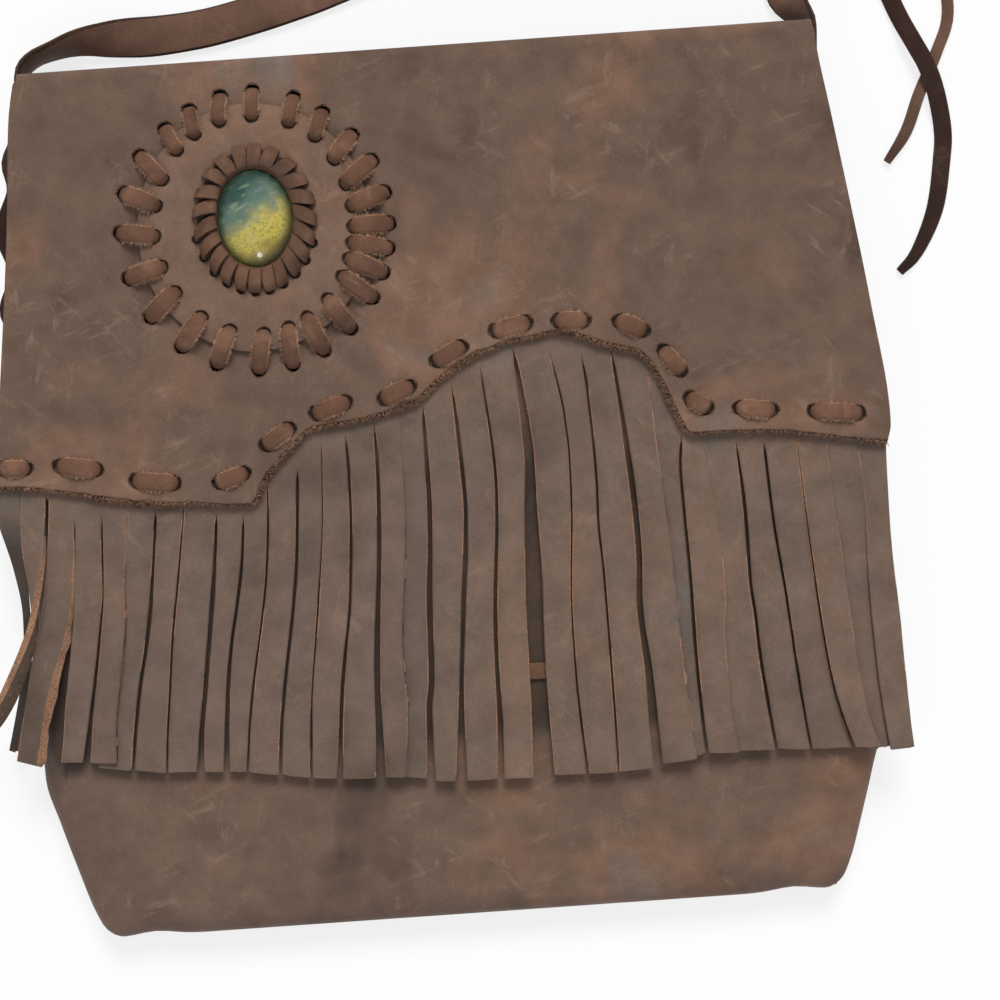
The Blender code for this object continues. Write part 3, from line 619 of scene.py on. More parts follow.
def flap_rise(x, down):
    """How far the flap's good side stands over its lowest level, in mm."""
    swell = 0.55 + 0.5 * rough(x, down, 70, 1) + 0.22 * rough(x, down, 24, 2)
    flat = ease(0, 26, down)
    return max(0, swell * flat)


def flap_height(x, down):
    return FLAP_LEVEL + flap_rise(x, down)


def hole_dip(x, down, holes, depth=0.55):
    """How deep the leather dips round the holes within 8 mm, in mm."""
    dip = 0
    for hole in holes:
        away = (hole.x - x) ** 2 + (hole.y - down) ** 2
        if away < 8 ** 2:
            dip += depth * math.exp(-away / 9)
    return min(depth, dip)


print(len(edge_holes), "holes along the edge,", len(outer_holes) + len(inner_holes), "round the disc")

# %% [markdown]
# ## The hide: back, fold and flap in one piece
# The back and the flap are one skin. Rows of points run up the back, round the fold and down the
# flap to its wavy edge, so that there is no seam where the real bag has none.

# %% The hide
COLUMNS = 201
BACK_ROWS = 34
FLAP_ROWS = 96
FOOT = 324.6
BEND = 4
BENDS = [math.pi / 2 * turn / 8 for turn in range(1, 8)]
flap_table = []
for c in range(COLUMNS):
    share = 2 * c / (COLUMNS - 1) - 1
    side = LEFT_SIDE if share < 0 else RIGHT_SIDE
    end = 150
    for _ in range(8):
        end = along(WAVE, share * along(side, end))
    end += 0.6 * rough(share * 160, 3, 4.5, 6)
    flap_table.append((share, side, end))

BODY_SIDE = ((0, 146.0), (81, 150.6), (162, 155.0), (254, 158.0), (263, 157.8), (280, 153.3),
             (299, 147.5), (312, 143.3), (318, 140.7), (325, 137.5))


def foot(x):
    """The foot dips in a little beside each corner, and the corners bulge."""
    inward = 137 - abs(x)
    return FOOT - 1.6 * math.exp(-((inward - 17) / 9) ** 2)


hide_points = []
for r in range(BACK_ROWS):
    t = r / (BACK_ROWS - 1)
    for share, side, end in flap_table:
        x = share * along(BODY_SIDE, 325 - 321 * t)
        down = foot(x) + (BEND - foot(x)) * t
        x = share * along(BODY_SIDE, down)
        hide_points.append(spot(x, down, 0.0))
for a in BENDS:
    for share, side, end in flap_table:
        hide_points.append(spot(share * 146.2, BEND - BEND * math.sin(a), BEND - BEND * math.cos(a)))
for height in (4, 10, 16, 20, 23.9):
    for share, side, end in flap_table:
        hide_points.append(spot(share * (146.2 + 1.4 * height / 24), 0, height))
for a in BENDS:
    for share, side, end in flap_table:
        hide_points.append(spot(share * 147.6, BEND - BEND * math.cos(a), 23.9 + BEND * math.sin(a)))
for r in range(FLAP_ROWS):
    t = r / (FLAP_ROWS - 1)
    t = t + 0.25 * t * (1 - t) * (2 * t - 1) * 2
    for share, side, end in flap_table:
        down = BEND + (end - BEND) * t
        x = share * along(side, down)
        rise = flap_rise(x, down) - hole_dip(x, down, edge_holes) - hole_dip(x, down, outer_holes)
        rise += 0.5 * ease(7, 0, end - down) * (0.6 + rough(x, down, 14, 5))
        side_drop = 0.35 * ease(5, 0, along(side, down) - abs(x))
        hide_points.append(spot(x, down, FLAP_LEVEL + max(0, rise - side_drop)))
total_rows = len(hide_points) // COLUMNS
rim_line = hide_points[-COLUMNS:]
SLANT = ((-166, 0.3), (-157, 1.1), (-140, 0.8), (-125, 2.0), (-105, 1.6), (-90, 0.4), (-74, 0.4),
         (-69, 1.6), (-58, 1.7), (-45, 1.3), (-30, 1.5), (-10, 1.7), (12, 1.8), (30, 1.2), (50, 1.5),
         (66, 1.8), (78, 1.6), (86, 1.8), (92, 0.6), (115, 0.4), (135, 0.6), (150, 0.7), (160, 1.6),
         (166, 1.4))
slants = {}
for c in range(COLUMNS):
    way = (rim_line[min(c + 1, COLUMNS - 1)] - rim_line[max(c - 1, 0)]).normalized()
    out = Vector((way.y, -way.x, 0))
    x = rim_line[c].x * 1000
    push = along(SLANT, x) * (1.1 + 1.0 * rough(x, 0, 3.5, 9))
    slants[len(hide_points) - COLUMNS + c] = out * push / 1000
# The cut edge is painted dark as shade; where it faces up, and on its bevel, it takes the raw edge, a
# painted highlight on the rim.
hide = leather_sheet("hide", hide_points, grid_faces(total_rows, COLUMNS),
                     [hide_leather, dark_edge_and_shade, flesh_side, raw_edge], 0.0028, slants,
                     rim_finish=3, clamped=False)
paint_rim_highlight(hide)
punch(hide, [spot(h.x, h.y, flap_height(h.x, h.y) - 0.5) for h in edge_holes + outer_holes])
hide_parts("back_panel", "flap_panel")
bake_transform(hide)
print("hide:", len(hide.data.polygons), "faces")

# %% [markdown]
# ## The front of the pouch
# The front is one smooth piece whose sides and foot roll over and run down to the back, so no
# seam shows from above. It is a grid whose outer rows and columns follow that roll. The two
# foot corners bulge, as where a wet-formed corner has dried. Under the fringe the front is
# darkened with painted shade, so that the slits between the strips look dark.

# %% The front
ROLL_WIDE = 22
FRONT_LEVEL = 20
FRONT_TOP = 30
CORNER = 6
ROLL = ((0, 3.1), (0, 6.5), (0.05, 9.5), (0.25, 11.6), (0.8, 13.2), (1.8, 14.8), (3.4, 16.4),
        (5.8, 17.8), (9, 18.8), (13, 19.5), (17.5, 19.85), (ROLL_WIDE, FRONT_LEVEL))
across_steps = [("left", inset, height) for inset, height in ROLL]
across_steps += [("middle", k / 66, FRONT_LEVEL) for k in range(1, 66)]
across_steps += [("right", inset, height) for inset, height in reversed(ROLL)]
down_steps = [("middle", k / 90, FRONT_LEVEL) for k in range(91)]
down_steps += [("foot", inset, height) for inset, height in reversed(ROLL[:-1])]
front_points, front_shade_tints = [], []
for kind_down, step_down, height_down in down_steps:
    for kind_across, step_across, height_across in across_steps:
        a = ROLL_WIDE if kind_across == "middle" else step_across
        b = ROLL_WIDE if kind_down == "middle" else step_down
        if a < CORNER and b < CORNER:
            p, q = (CORNER - a) / CORNER, (CORNER - b) / CORNER
            a = CORNER - CORNER * p * math.sqrt(1 - q * q / 2)
            b = CORNER - CORNER * q * math.sqrt(1 - p * p / 2)
        if kind_down == "middle":
            down = FRONT_TOP + (302.6 - FRONT_TOP) * step_down
        else:
            down = FOOT - b
        half = along(BODY_SIDE, down)
        if kind_across == "middle":
            x = (half - ROLL_WIDE) * (2 * step_across - 1)
        else:
            x = (half - a) * (-1 if kind_across == "left" else 1)
        if kind_down == "foot":
            down = foot(x) - b
        drop = min(16.9, math.hypot(FRONT_LEVEL - height_across, FRONT_LEVEL - height_down))
        wave = 0.55 * rough(x, down, 55, 11) + 0.25 * rough(x, down, 21, 12)
        front_points.append(spot(x, down, FRONT_LEVEL - drop + wave * ease(3, 0, drop)))
        # Painted shade: the front is darkened where the fringe covers it, so the slits between strips
        # look dark.
        under_fringe_shade = ease(140, 160, down) * ease(266, 254, down) * ease(160, 150, abs(x))
        front_shade_tints.append(0.5 - 0.48 * under_fringe_shade)
front = leather_sheet("front", front_points, grid_faces(len(down_steps), len(across_steps)),
                      [front_leather_painted_shade, raw_edge, flesh_side], 0.0026, tints=front_shade_tints, merge=True)
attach(front, "bag")
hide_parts("front_panel", "gusset")
print("front:", len(front.data.polygons), "faces")

# %% [markdown]
# ## The fringe
# The fringe is one sheet too, slit into strips that hang from under the wavy edge. Each strip
# has its own left and right edge, drawn as a line down the bag, and lies a little higher or
# lower than its neighbour. Above the root of a slit both sides share the same points, so the
# leather is whole there. The strip at the far left has turned over onto its edge.

# %% Lines of the strips
# left edge and right edge as (down, x), None being the right edge of the strip before; lift of
# both edges at the foot; how far the cut edge slants out on both sides; and how light the strip
# is, partly its own tone and partly painted shade, darkest at the far-left strip hanging in shadow
STRIPS = (
    (((149.3, -169), (160.6, -167.6), (183.2, -162.5), (198.1, -160.9), (212.9, -162),
      (227.5, -164.8), (251.2, -171)),
     ((151.7, -156.9), (190, -157), (215, -158.5), (235, -161.5), (251.5, -165.5)),
     (0, 0), (0, 0.3), 0),
    (((151.7, -156.9), (172.4, -158), (190.9, -157.5), (202, -157.9), (227.3, -168.5), (238, -174.5),
      (243.2, -179.3)),
     ((157.1, -147.7), (173, -149.2), (198.6, -153.5), (209.6, -156.5), (227.6, -163.7),
      (233.6, -168.2), (240.2, -174.6)),
     (0, 0), (0.2, 0.4), 0.5),
    (((157.2, -146.6), (173.1, -147.7), (191.4, -150.4), (202.4, -152.7), (224.2, -159),
      (235.1, -162), (254.2, -166)),
     ((166.3, -137.9), (175.6, -138.6), (195.8, -141.5), (204.9, -143.2), (224.9, -149.5),
      (246.8, -154.7), (256.3, -156.5)),
     (1.2, 3.2), (0.1, 1.3), 0.45),
    (((166.3, -137.9), (181.1, -139), (203.2, -141.3), (217.9, -143.4), (232.6, -145.9),
      (247.2, -148), (255.7, -149.4)),
     ((165.2, -127.5), (181.8, -128.6), (192.9, -129), (204, -130.6), (218.6, -133.1),
      (233.3, -135.9), (256.3, -140.5)),
     (0.3, 0.2), (0.1, 0.3), 0.5),
    (((165.2, -127.5), (181.9, -128.3), (196.6, -129.3), (211.3, -131.4), (224.2, -133.5),
      (237, -135.8), (256.5, -138.3)),
     ((163.3, -117.7), (177, -117.9), (193.6, -119.4), (204.7, -119.8), (217.6, -121.5),
      (246.9, -126.1), (257.3, -126.5)),
     (0.2, 2.6), (0.3, 1.3), 0.62),
    (((163.3, -117.7), (182.4, -120.1), (204.4, -123.9), (226.4, -128.4), (244.6, -132.7),
      (258.5, -135.5)),
     ((164.8, -107.4), (181.3, -109.3), (197.9, -111.6), (212.5, -114.1), (227.1, -117.3),
      (243.6, -120.3), (260.5, -122.6)),
     (-0.6, 0.2), (0, 0.1), 0.42),
    (((164.8, -107.4), (181.3, -109.3), (197.9, -111.2), (212.6, -113.7), (227.2, -117),
      (243.6, -120), (260.5, -122.3)),
     ((161.8, -96.4), (191.2, -100.7), (205.9, -103.2), (216.9, -104.8), (231.6, -106.5),
      (246.3, -108.3), (262.2, -109.8)),
     (0.3, 0.9), (0.2, 0.5), 0.55),
    (None,
     ((167.5, -85), (184.8, -86.9), (199.4, -89.1), (214.1, -91.2), (232.5, -94), (249, -96.6),
      (262.6, -98.3)),
     (0, 0.3), (0.3, 0.1), 0.48),
    (((167.5, -85), (184.8, -86.6), (199.5, -88.3), (214.2, -90.5), (232.5, -93.2), (249.1, -95.5),
      (262.7, -96.5)),
     ((168.9, -75.1), (185.5, -77), (201.9, -80), (214.7, -82.7), (229.4, -85.2), (245.9, -87.1),
      (263.3, -88.7)),
     (0.2, 0.1), (0.2, 0.1), 0.58),
    (((168.9, -75.1), (185.5, -76.6), (202, -79.6), (214.7, -82.3), (229.4, -84.5), (246, -86),
      (263.4, -87.2)),
     ((155.9, -65.2), (175.1, -66.6), (193.5, -68.6), (205.2, -70.6), (231.9, -75.8), (246.6, -78.3),
      (263.9, -80.2)),
     (0.3, -0.2), (0.4, 0), 0.5),
    (None,
     ((152.9, -53.9), (172.1, -55.3), (188.7, -56.8), (203.4, -58.9), (234.5, -64.4), (249.2, -66.6),
      (265.8, -68.1)),
     (1, 0.7), (0.6, 0.4), 0.6),
    (None,
     ((143.2, -44.3), (165.4, -45.5), (176.5, -46.3), (205.9, -50.2), (238.9, -54.7), (253.7, -56.1),
      (267.7, -57.1)),
     (-0.2, 0.2), (0.1, 0.3), 0.44),
    (((143.2, -44.3), (165.4, -45.5), (176.5, -46.3), (193, -48.2), (205.9, -49.8), (239, -54.4),
      (267.8, -56.4)),
     ((141.6, -35.3), (155, -35.1), (169.8, -35.4), (188.3, -36.7), (206.7, -38.4), (232.4, -42.8),
      (268.8, -46.8)),
     (0.7, 0.1), (0.3, 0.1), 0.57),
    (((141.6, -35.3), (155, -34.8), (169.8, -35.1), (206.7, -38), (217.7, -39.9), (247.1, -43.8),
      (268.9, -45.3)),
     ((138.7, -24.4), (152, -24.5), (189, -26.4), (211.1, -28.7), (229.5, -30.3), (257.3, -31.5),
      (269.4, -32.4)),
     (0.2, 0.5), (0.1, 0.4), 0.5),
    (((138.7, -24.4), (152.1, -24.2), (189, -25.7), (211.2, -27.6), (229.6, -28.9), (244.4, -29.5),
      (269.6, -29.4)),
     ((136.8, -14.6), (163.9, -13.5), (182.4, -14.4), (226.7, -18.3), (241.5, -17.8), (256.3, -18.9),
      (269.9, -20.2)),
     (0.6, 2.6), (0.2, 1.4), 0.6),
    (((136.8, -14.6), (156.3, -15.9), (189.5, -19.7), (226.3, -23.8), (269.5, -26.1)),
     ((132.9, -5.8), (166.3, -6.3), (182.9, -7), (205, -9), (234.6, -10.3), (245.6, -11.8),
      (271.1, -13.2)),
     (-0.6, -0.1), (0, 0.1), 0.35),
    (((132.9, -5.8), (166.3, -5.9), (183, -6.7), (205.1, -8.2), (234.7, -9.6), (245.7, -11.1),
      (272, -11.8)),
     ((125.5, 5.1), (154.2, 6.8), (169.1, 7.3), (187.5, 6), (206, 4), (242.8, 0.6), (272.6, -2.6)),
     (0.8, 0.9), (0.5, 0.6), 0.58),
    (((125.5, 5.1), (139.4, 6.4), (169.1, 7.6), (187.6, 6.7), (206, 4.7), (242.9, 1.4), (272.8, 0.4)),
     ((118.9, 16.3), (162.5, 18.9), (177.3, 18.2), (214.1, 14.9), (232.6, 14.3), (247.5, 14),
      (273, 12.6)),
     (0, 0.2), (0.1, 0.3), 0.5),
    (((118.9, 16.3), (162.5, 19.6), (177.3, 18.9), (214.2, 16), (232.7, 15.4), (247.6, 15.5),
      (273.1, 14.5)),
     ((113.9, 28.9), (141.1, 31.1), (156, 31.6), (174.4, 30.3), (211.4, 28.4), (248.4, 27.7),
      (273.6, 26.7)),
     (0.5, 1), (0.2, 0.9), 0.64),
    (((113.9, 28.9), (126.2, 30.7), (156.1, 33.4), (174.6, 33.2), (193.2, 33.4), (230.2, 32.3),
      (272.9, 32.7)),
     ((115.9, 42.2), (140.3, 46), (155.2, 46.8), (171.8, 46.4), (216.1, 43.7), (232.8, 43.6),
      (273.4, 45.2)),
     (0.2, -0.1), (0.3, 0.1), 0.55),
    (((115.9, 42.2), (140.3, 46.4), (155.2, 47.2), (171.9, 46.8), (216.2, 44), (232.9, 44),
      (273.4, 46)),
     ((117.5, 53.9), (129.8, 55.3), (165.1, 56.5), (181.8, 56.1), (198.5, 56.8), (265.3, 57.3),
      (273.5, 57.1)),
     (0.3, 0.2), (0.4, 0.1), 0.62),
    (None,
     ((116.8, 65.1), (147.3, 67.4), (192, 69.5), (212.3, 68.4), (240.2, 69.8), (255.1, 69.9),
      (272.9, 70.5)),
     (0.2, 0.4), (0.1, 0.3), 0.5),
    (((116.8, 65.1), (130.6, 66.7), (179.1, 70.7), (192.1, 70.9), (212.4, 69.9), (240.4, 72),
      (271.6, 73.2)),
     ((125.8, 78.2), (153.9, 81), (202.3, 84), (217.1, 84.4), (248.8, 85.9), (261.8, 86.8),
      (270.4, 87.7)),
     (0.6, 2.4), (0.2, 1.4), 0.58),
    (((125.8, 78.2), (138.9, 78.7), (153.7, 78.8), (170.4, 78.8), (196.3, 78.4), (226, 78.6),
      (270.7, 81.4)),
     ((150.3, 89.1), (163.6, 87.8), (208.2, 88.7), (224.9, 88.7), (241.6, 89), (258.3, 89.7),
      (268.8, 90.4)),
     (-0.8, -0.5), (0, 0.1), 0.3),
    (None,
     ((152, 97.1), (190.5, 101.5), (203.5, 102), (212.8, 101.8), (223.8, 100.6), (249.8, 101),
      (269.2, 102.6)),
     (1, 1.6), (0.3, 0.6), 0.66),
    (((152, 97.1), (168, 97.5), (190.3, 97.8), (212.5, 97.3), (234.7, 96.5), (253.2, 96.7),
      (268.9, 97.8)),
     ((153.6, 108.9), (178.2, 110.9), (191.2, 111.1), (206, 111.1), (219.1, 112.1), (232.1, 112.7),
      (269.1, 116.4)),
     (-0.3, 1.4), (0.1, 0.9), 0.55),
    (None,
     ((154.3, 119.2), (184.5, 120.8), (210.6, 123.4), (225.5, 124.6), (238.6, 125.6), (264.7, 128.2),
      (270, 128.9)),
     (-0.2, 0.2), (0.1, 0.3), 0.48),
    (None,
     ((154, 131.5), (166.7, 132.1), (220.7, 135.7), (233.8, 137), (246.9, 138.7), (258.2, 141.2),
      (270.3, 144.8)),
     (0.1, -0.2), (0.2, 0.1), 0.45),
    (None,
     ((156.3, 142.4), (167.5, 143.9), (178.7, 145), (219.7, 147.6), (257.1, 151.7), (265.4, 153.7),
      (270.7, 155.6)),
     (2.4, 2.2), (0.3, 0.6), 0.68),
    (((156.3, 142.4), (171.1, 142.1), (193.3, 141.7), (215.6, 141.6), (237.9, 143), (256.6, 145.1),
      (270.9, 147.4)),
     ((159.3, 153.7), (170, 155.5), (194.1, 156.4), (227.5, 156.8), (242.3, 157.2), (255.4, 157.8),
      (271.2, 158.5)),
     (-0.5, -1.6), (0, 0.2), 0.42),
    (((159.3, 153.7), (175.7, 154.1), (194.2, 153.5), (212.7, 153.3), (242.4, 154.2), (266.7, 156.2),
      (272.3, 156.9)),
     ((156.4, 164.7), (172.7, 164.3), (191.2, 164.1), (224.7, 165.5), (239.5, 165.9), (263.7, 166.8),
      (271.9, 167.4)),
     (0.8, 0.3), (1, 0.2), 0.46),
)
UPPER = ((-166, 121), (-63, 124), (-33, 111.6), (13, 93), (75, 85.5), (103, 105), (166, 121))
ROOT_ROW = 12
FOOT_ROW = 70
FRINGE_LEVEL = 24.8
EDGE_ON = 1
ACROSS = (0, 0.038, 0.2, 0.4, 0.6, 0.8, 0.962, 1)
LAST = len(ACROSS) - 1
LIP = (0, 1, LAST - 1, LAST)
TURNED_HALF = {1: 4.4, 2: 4.7}
TURNED = {1: ((157, 0), (172, 14), (186, 50), (199, 80), (214, 103), (243, 112)),
          2: ((166, 0), (195, 8), (214, 20), (233, 36), (256, 26))}
print(len(STRIPS), "strips")

# %% Build the fringe
fringe_points, fringe_faces, fringe_tone_and_shade, fringe_slants = [], [], [], {}
highlight_lips = []


def edge_point(line, row):
    root, x = line[0]
    if row <= ROOT_ROW:
        upper = along(UPPER, x)
        return Vector((x, upper + (root - upper) * row / ROOT_ROW))
    down = root + (line[-1][0] - root) * (row - ROOT_ROW) / (FOOT_ROW - ROOT_ROW)
    return Vector((along(line, down), down))


shared = {}
for number, (left, right, lifts, raw, shade) in enumerate(STRIPS):
    left = left or STRIPS[number - 1][1]
    index = {}
    for row in range(FOOT_ROW + 1):
        a, b = edge_point(left, row), edge_point(right, row)
        loose = max(0, (row - ROOT_ROW) / (FOOT_ROW - ROOT_ROW))
        for c, s in enumerate(ACROSS):
            if c == 0 and row <= ROOT_ROW and (number - 1, row) in shared:
                index[row, c] = shared[number - 1, row]
                continue
            here = a.lerp(b, s)
            gap = (0.30 + 0.22 * math.sin(number * 2.4 + 3 * s)) * ease(0, 0.05, loose)
            here.x += gap * (1 - 2 * s)
            lift = (lifts[0] + (lifts[1] - lifts[0]) * s) * ease(0, 0.6, loose)
            curl = 0.35 * (0.5 - abs(s - 0.5))
            lift += loose * (0.55 * rough(number * 31 + 2 * s, here.y, 34, 21) + curl)
            wander = loose * 0.5 * rough(number * 13 + 40 * round(s), here.y, 7, 23)
            wander *= 1 if c in LIP else 0.2
            own_raw = raw[0] if s < 0.5 else raw[1]
            if own_raw >= 0.5 and c in LIP and number != EDGE_ON:
                wander += (1 - 2 * round(s)) * 2.8 * own_raw * ease(0, 0.2, loose)
            x, down, height = here.x + wander * 0.3, here.y, FRINGE_LEVEL + lift
            if c in (0, LAST):
                height -= 0.4 * ease(0, 0.03, loose)
            if number == 0:
                height -= 13.5 * ease(0.05, 1, loose)
            if number in TURNED:
                turn = math.radians(along(TURNED[number], down))
                half = TURNED_HALF[number]
                reach = (2 * s - 1) * half
                flat = (b.x - a.x) / 2 * (2 * s - 1)
                mix = ease(0, 0.2, loose)
                x = (a.x + b.x) / 2 + flat * (1 - mix) + reach * math.cos(turn) * mix
                raised = half * abs(math.sin(turn)) * 0.45 + reach * math.sin(turn)
                height = FRINGE_LEVEL + raised * mix
            if number > 26 and row <= ROOT_ROW:
                x = min(x, along(RIGHT_SIDE, down) - 1)
            index[row, c] = len(fringe_points)
            fringe_points.append(spot(x, down, height))
            # Tone and painted shade of each strip, weaker towards the root.
            fringe_tone_and_shade.append(0.5 + (shade - 0.5) * (0.3 + 0.7 * min(1, loose * 4)))
            if row > ROOT_ROW and c in (0, LAST) and number != EDGE_ON:
                grow = ease(0, 0.2, loose) * (1.15 + 0.8 * rough(number * 9, down, 6, 29))
                way = -raw[0] if c == 0 else raw[1]
                fringe_slants[index[row, c]] = Vector((way * grow / 1000, 0, 0))
            if row == FOOT_ROW:
                fringe_slants[index[row, c]] = Vector((0, -0.0005, 0))
        if row <= ROOT_ROW:
            shared[number, row] = index[row, LAST]
    for row in range(FOOT_ROW):
        for c in range(LAST):
            # Pale lips along the strips' edges, in scattered places: painted highlight.
            scattered_patches = rough(number * 17 + 8 * c, row, 16, 51) > 0.05
            if row > ROOT_ROW and c in (0, LAST - 1) and scattered_patches:
                highlight_lips.append(len(fringe_faces))
            corners = (index[row, c], index[row + 1, c], index[row + 1, c + 1], index[row, c + 1])
            fringe_faces.append(corners)
# The strip walls take the dark cut edge, painted shade in the slits; faces that face up and the lips
# take the pale edge, painted highlight.
fringe = leather_sheet("fringe_strips", fringe_points, fringe_faces,
                       [fringe_leather, dark_edge_and_shade, flesh_side, lit_edge], 0.0024, fringe_slants,
                       soften=0, tints=fringe_tone_and_shade)
paint_rim_highlight(fringe)
for i in highlight_lips:
    fringe.data.polygons[i].material_index = 3
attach(fringe, "flap")
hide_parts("fringe")
print("fringe:", len(fringe.data.polygons), "faces")

# %% [markdown]
# ## Lacing along the wavy edge
# A running stitch of flat lace joins the flap to the fringe: up through one hole, over the
# leather, down through the next, and along underneath to the following stitch. The lace is
# pinched in the holes and puffs up between them, and its rubbed edges are fuzzy.

# %% Running stitch
picker = random.Random(7)


def either_way():
    return picker.uniform(-1, 1)


def fuzz_along(parts, line, across, widths, length, sides):
    for i in range(2, len(line) - 2):
        for _ in range(4):
            side = picker.choice(sides)
            root = line[i].lerp(line[i + 1], picker.random()) + across[i] * (side * widths[i] * 0.48)
            way = across[i] * side + Vector((either_way(), either_way(), picker.uniform(0, 1))) * 0.6
            fibre(parts, root, way.normalized(), length * picker.uniform(0.4, 1.2) / 1000, 0.0002, 2)


def lace_over(parts, centres, broads, way, tilt, dome, bare, length, sides):
    """One stitch through the given places, as wide at each as it is given there."""
    line = smooth_route(centres, 0.0007)
    reach = [0]
    for a, b in zip(line, line[1:]):
        reach.append(reach[-1] + (b - a).length)
    marks = [0]
    for place in centres[1:]:
        nearest = min(range(len(line)), key=lambda j: (line[j] - place).length)
        marks.append(max(marks[-1] + 1e-6, reach[nearest]))
    table = list(zip(marks, broads))
    wide = [along(table, d) / 1000 for d in reach]
    side = Vector((0, 0, 1)).cross(Vector((way.x, -way.y, 0)))
    tip = math.radians(picker.uniform(-tilt, tilt))
    across = [side * math.cos(tip) + Vector((0, 0, 1)) * math.sin(tip)] * len(line)
    strip(parts, line, across, wide, [LACE_THICK] * len(line), dome=dome)
    seen = slice(bare, -bare)
    fuzz_along(parts, line[seen], across[seen], wide[seen], length, sides)


def lace_under(parts, start, end, height, width, thickness):
    line = [spot(start.x, start.y, height).lerp(spot(end.x, end.y, height), k / 6) for k in range(7)]
    strip(parts, line, level_across(line), [width] * 7, [thickness] * 7)


lacing = Parts()
for i in range(len(STITCHES)):
    start, end = stitch_ends(i)
    way = (end - start).normalized()
    base = flap_height(*((start + end) / 2))
    puff = picker.uniform(0.9, 1.3)
    broad = picker.uniform(6.3, 7.1)
    knots = ((0, -6.7, 3.6), (-0.2, -4.0, 3.8), (-0.4, -1.9, 4.2), (0.3, -0.45, 5.2),
             (1.7, 0.45, 0.97 * broad), (6.8, puff, broad), (11.9, 0.45, 0.97 * broad),
             (13.3, -0.45, 5.2), (14.0, -1.9, 4.2), (13.8, -4.0, 3.8), (13.6, -6.7, 3.6))
    size = (end - start).length / 13.6
    centres = [spot(*(start + way * far * size), base + high) for far, high, wide in knots]
    lace_over(lacing, centres, [k[2] for k in knots], way, 9, 0.055, 10, 1.5, (-1, -1, 1))
    if i + 1 < len(STITCHES):
        lace_under(lacing, end, stitch_ends(i + 1)[0], 21.3, 0.0045, 0.0016)
# The lace's edges take the pale cut edge, a painted highlight.
edge_lace = lacing.build("edge_lace", [lace_leather, lit_edge, pale_fibre])
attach(edge_lace, "flap")
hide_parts("edge_lacing")
print("edge lace:", len(edge_lace.data.polygons), "faces")

# %% Fuzz of the cut edge
fuzz = Parts()
for a, b in zip(rim_line, rim_line[1:]):
    way = (b - a).normalized()
    out = Vector((way.y, -way.x, 0))
    share = along(SLANT, a.x * 1000)
    for _ in range(round((b - a).length * 1000 * (3 + 6 * share))):
        low = picker.random()
        root = a.lerp(b, picker.random()) + Vector((0, 0, -0.0004 - 0.0021 * low))
        root += out * (share * low * 1.05 / 1000)
        lean = out + way * picker.uniform(-1, 1) + Vector((0, 0, picker.uniform(-0.2, 1.0)))
        length = picker.uniform(0.6, 1.9) / 1000
        fibre(fuzz, root, lean.normalized(), length, 0.00022, picker.choice((0, 1, 1, 2)))
for hole in edge_holes + outer_holes:
    for _ in range(24):
        turn = picker.uniform(0, math.tau)
        out = Vector((math.cos(turn), -math.sin(turn)))
        here = hole + out * picker.uniform(2.5, 2.9)
        root = spot(here.x, here.y, flap_height(hole.x, hole.y) - 0.55)
        lean = Vector((picker.uniform(-1, 1), picker.uniform(-1, 1), 1.2)).normalized()
        fibre(fuzz, root, lean, picker.uniform(0.4, 0.8) / 1000, 0.0002, picker.choice((1, 2)))
# Some fibres take the pale cut edge, a painted highlight.
edge_fuzz = fuzz.build("edge_fuzz", [raw_edge, lit_edge, pale_fibre])
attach(edge_fuzz, "flap")
print("edge fuzz:", len(edge_fuzz.data.polygons), "faces")

# %% [markdown]
# ## The disc and its lacing
# An oval of the same leather lies on the flap. It is an open ring of points, because the stone
# covers its middle, and it domes a little. Short laces hold it down all round, each going from a
# hole in the flap over the rim to a hole in the disc.

# %% Disc
DISC_STEPS = 132
DISC_RINGS = 26
STONE_MIDDLE = (-62.6, 60.3)
TURNS = 22
LEAN = 0.20
disc_points = []
for ring in range(DISC_RINGS):
    share = 0.24 + 0.76 * ring / (DISC_RINGS - 1)
    for k in range(DISC_STEPS + 1):
        turn = math.tau * (k % DISC_STEPS) / DISC_STEPS
        edge = 1 + 0.010 * rough(math.cos(turn), math.sin(turn), 0.45, 31)
        x = DISC_MIDDLE[0] + DISC_HALF[0] * share * edge * math.cos(turn)
        down = DISC_MIDDLE[1] - DISC_HALF[1] * share * edge * math.sin(turn)
        height = 31.0 + 0.5 * (1 - share ** 2) + 0.25 * rough(x, down, 16, 33)
        height -= hole_dip(x, down, inner_holes, 0.6) + 0.5 * ease(0.93, 1, share)
        disc_points.append(spot(x, down, height))
disc = leather_sheet("disc", disc_points, grid_faces(DISC_RINGS, DISC_STEPS + 1),
                     [disc_leather, dark_edge_and_shade, flesh_side], 0.0024, merge=True)
ring_holes = []
for i in range(TURNS // 2, TURNS):
    turn = math.tau * (i + 0.2) / TURNS
    turn -= LEAN * math.cos(turn) * 8 / 9
    ring_holes.append(spot(STONE_MIDDLE[0] + 22.6 * math.cos(turn),
                           STONE_MIDDLE[1] - 27.0 * math.sin(turn), 31.1))
punch(disc, [spot(h.x, h.y, 30.6) for h in inner_holes], radius=0.0024)
punch(disc, ring_holes, radius=0.0016)
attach(disc, "flap")
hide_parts("medallion_disc")

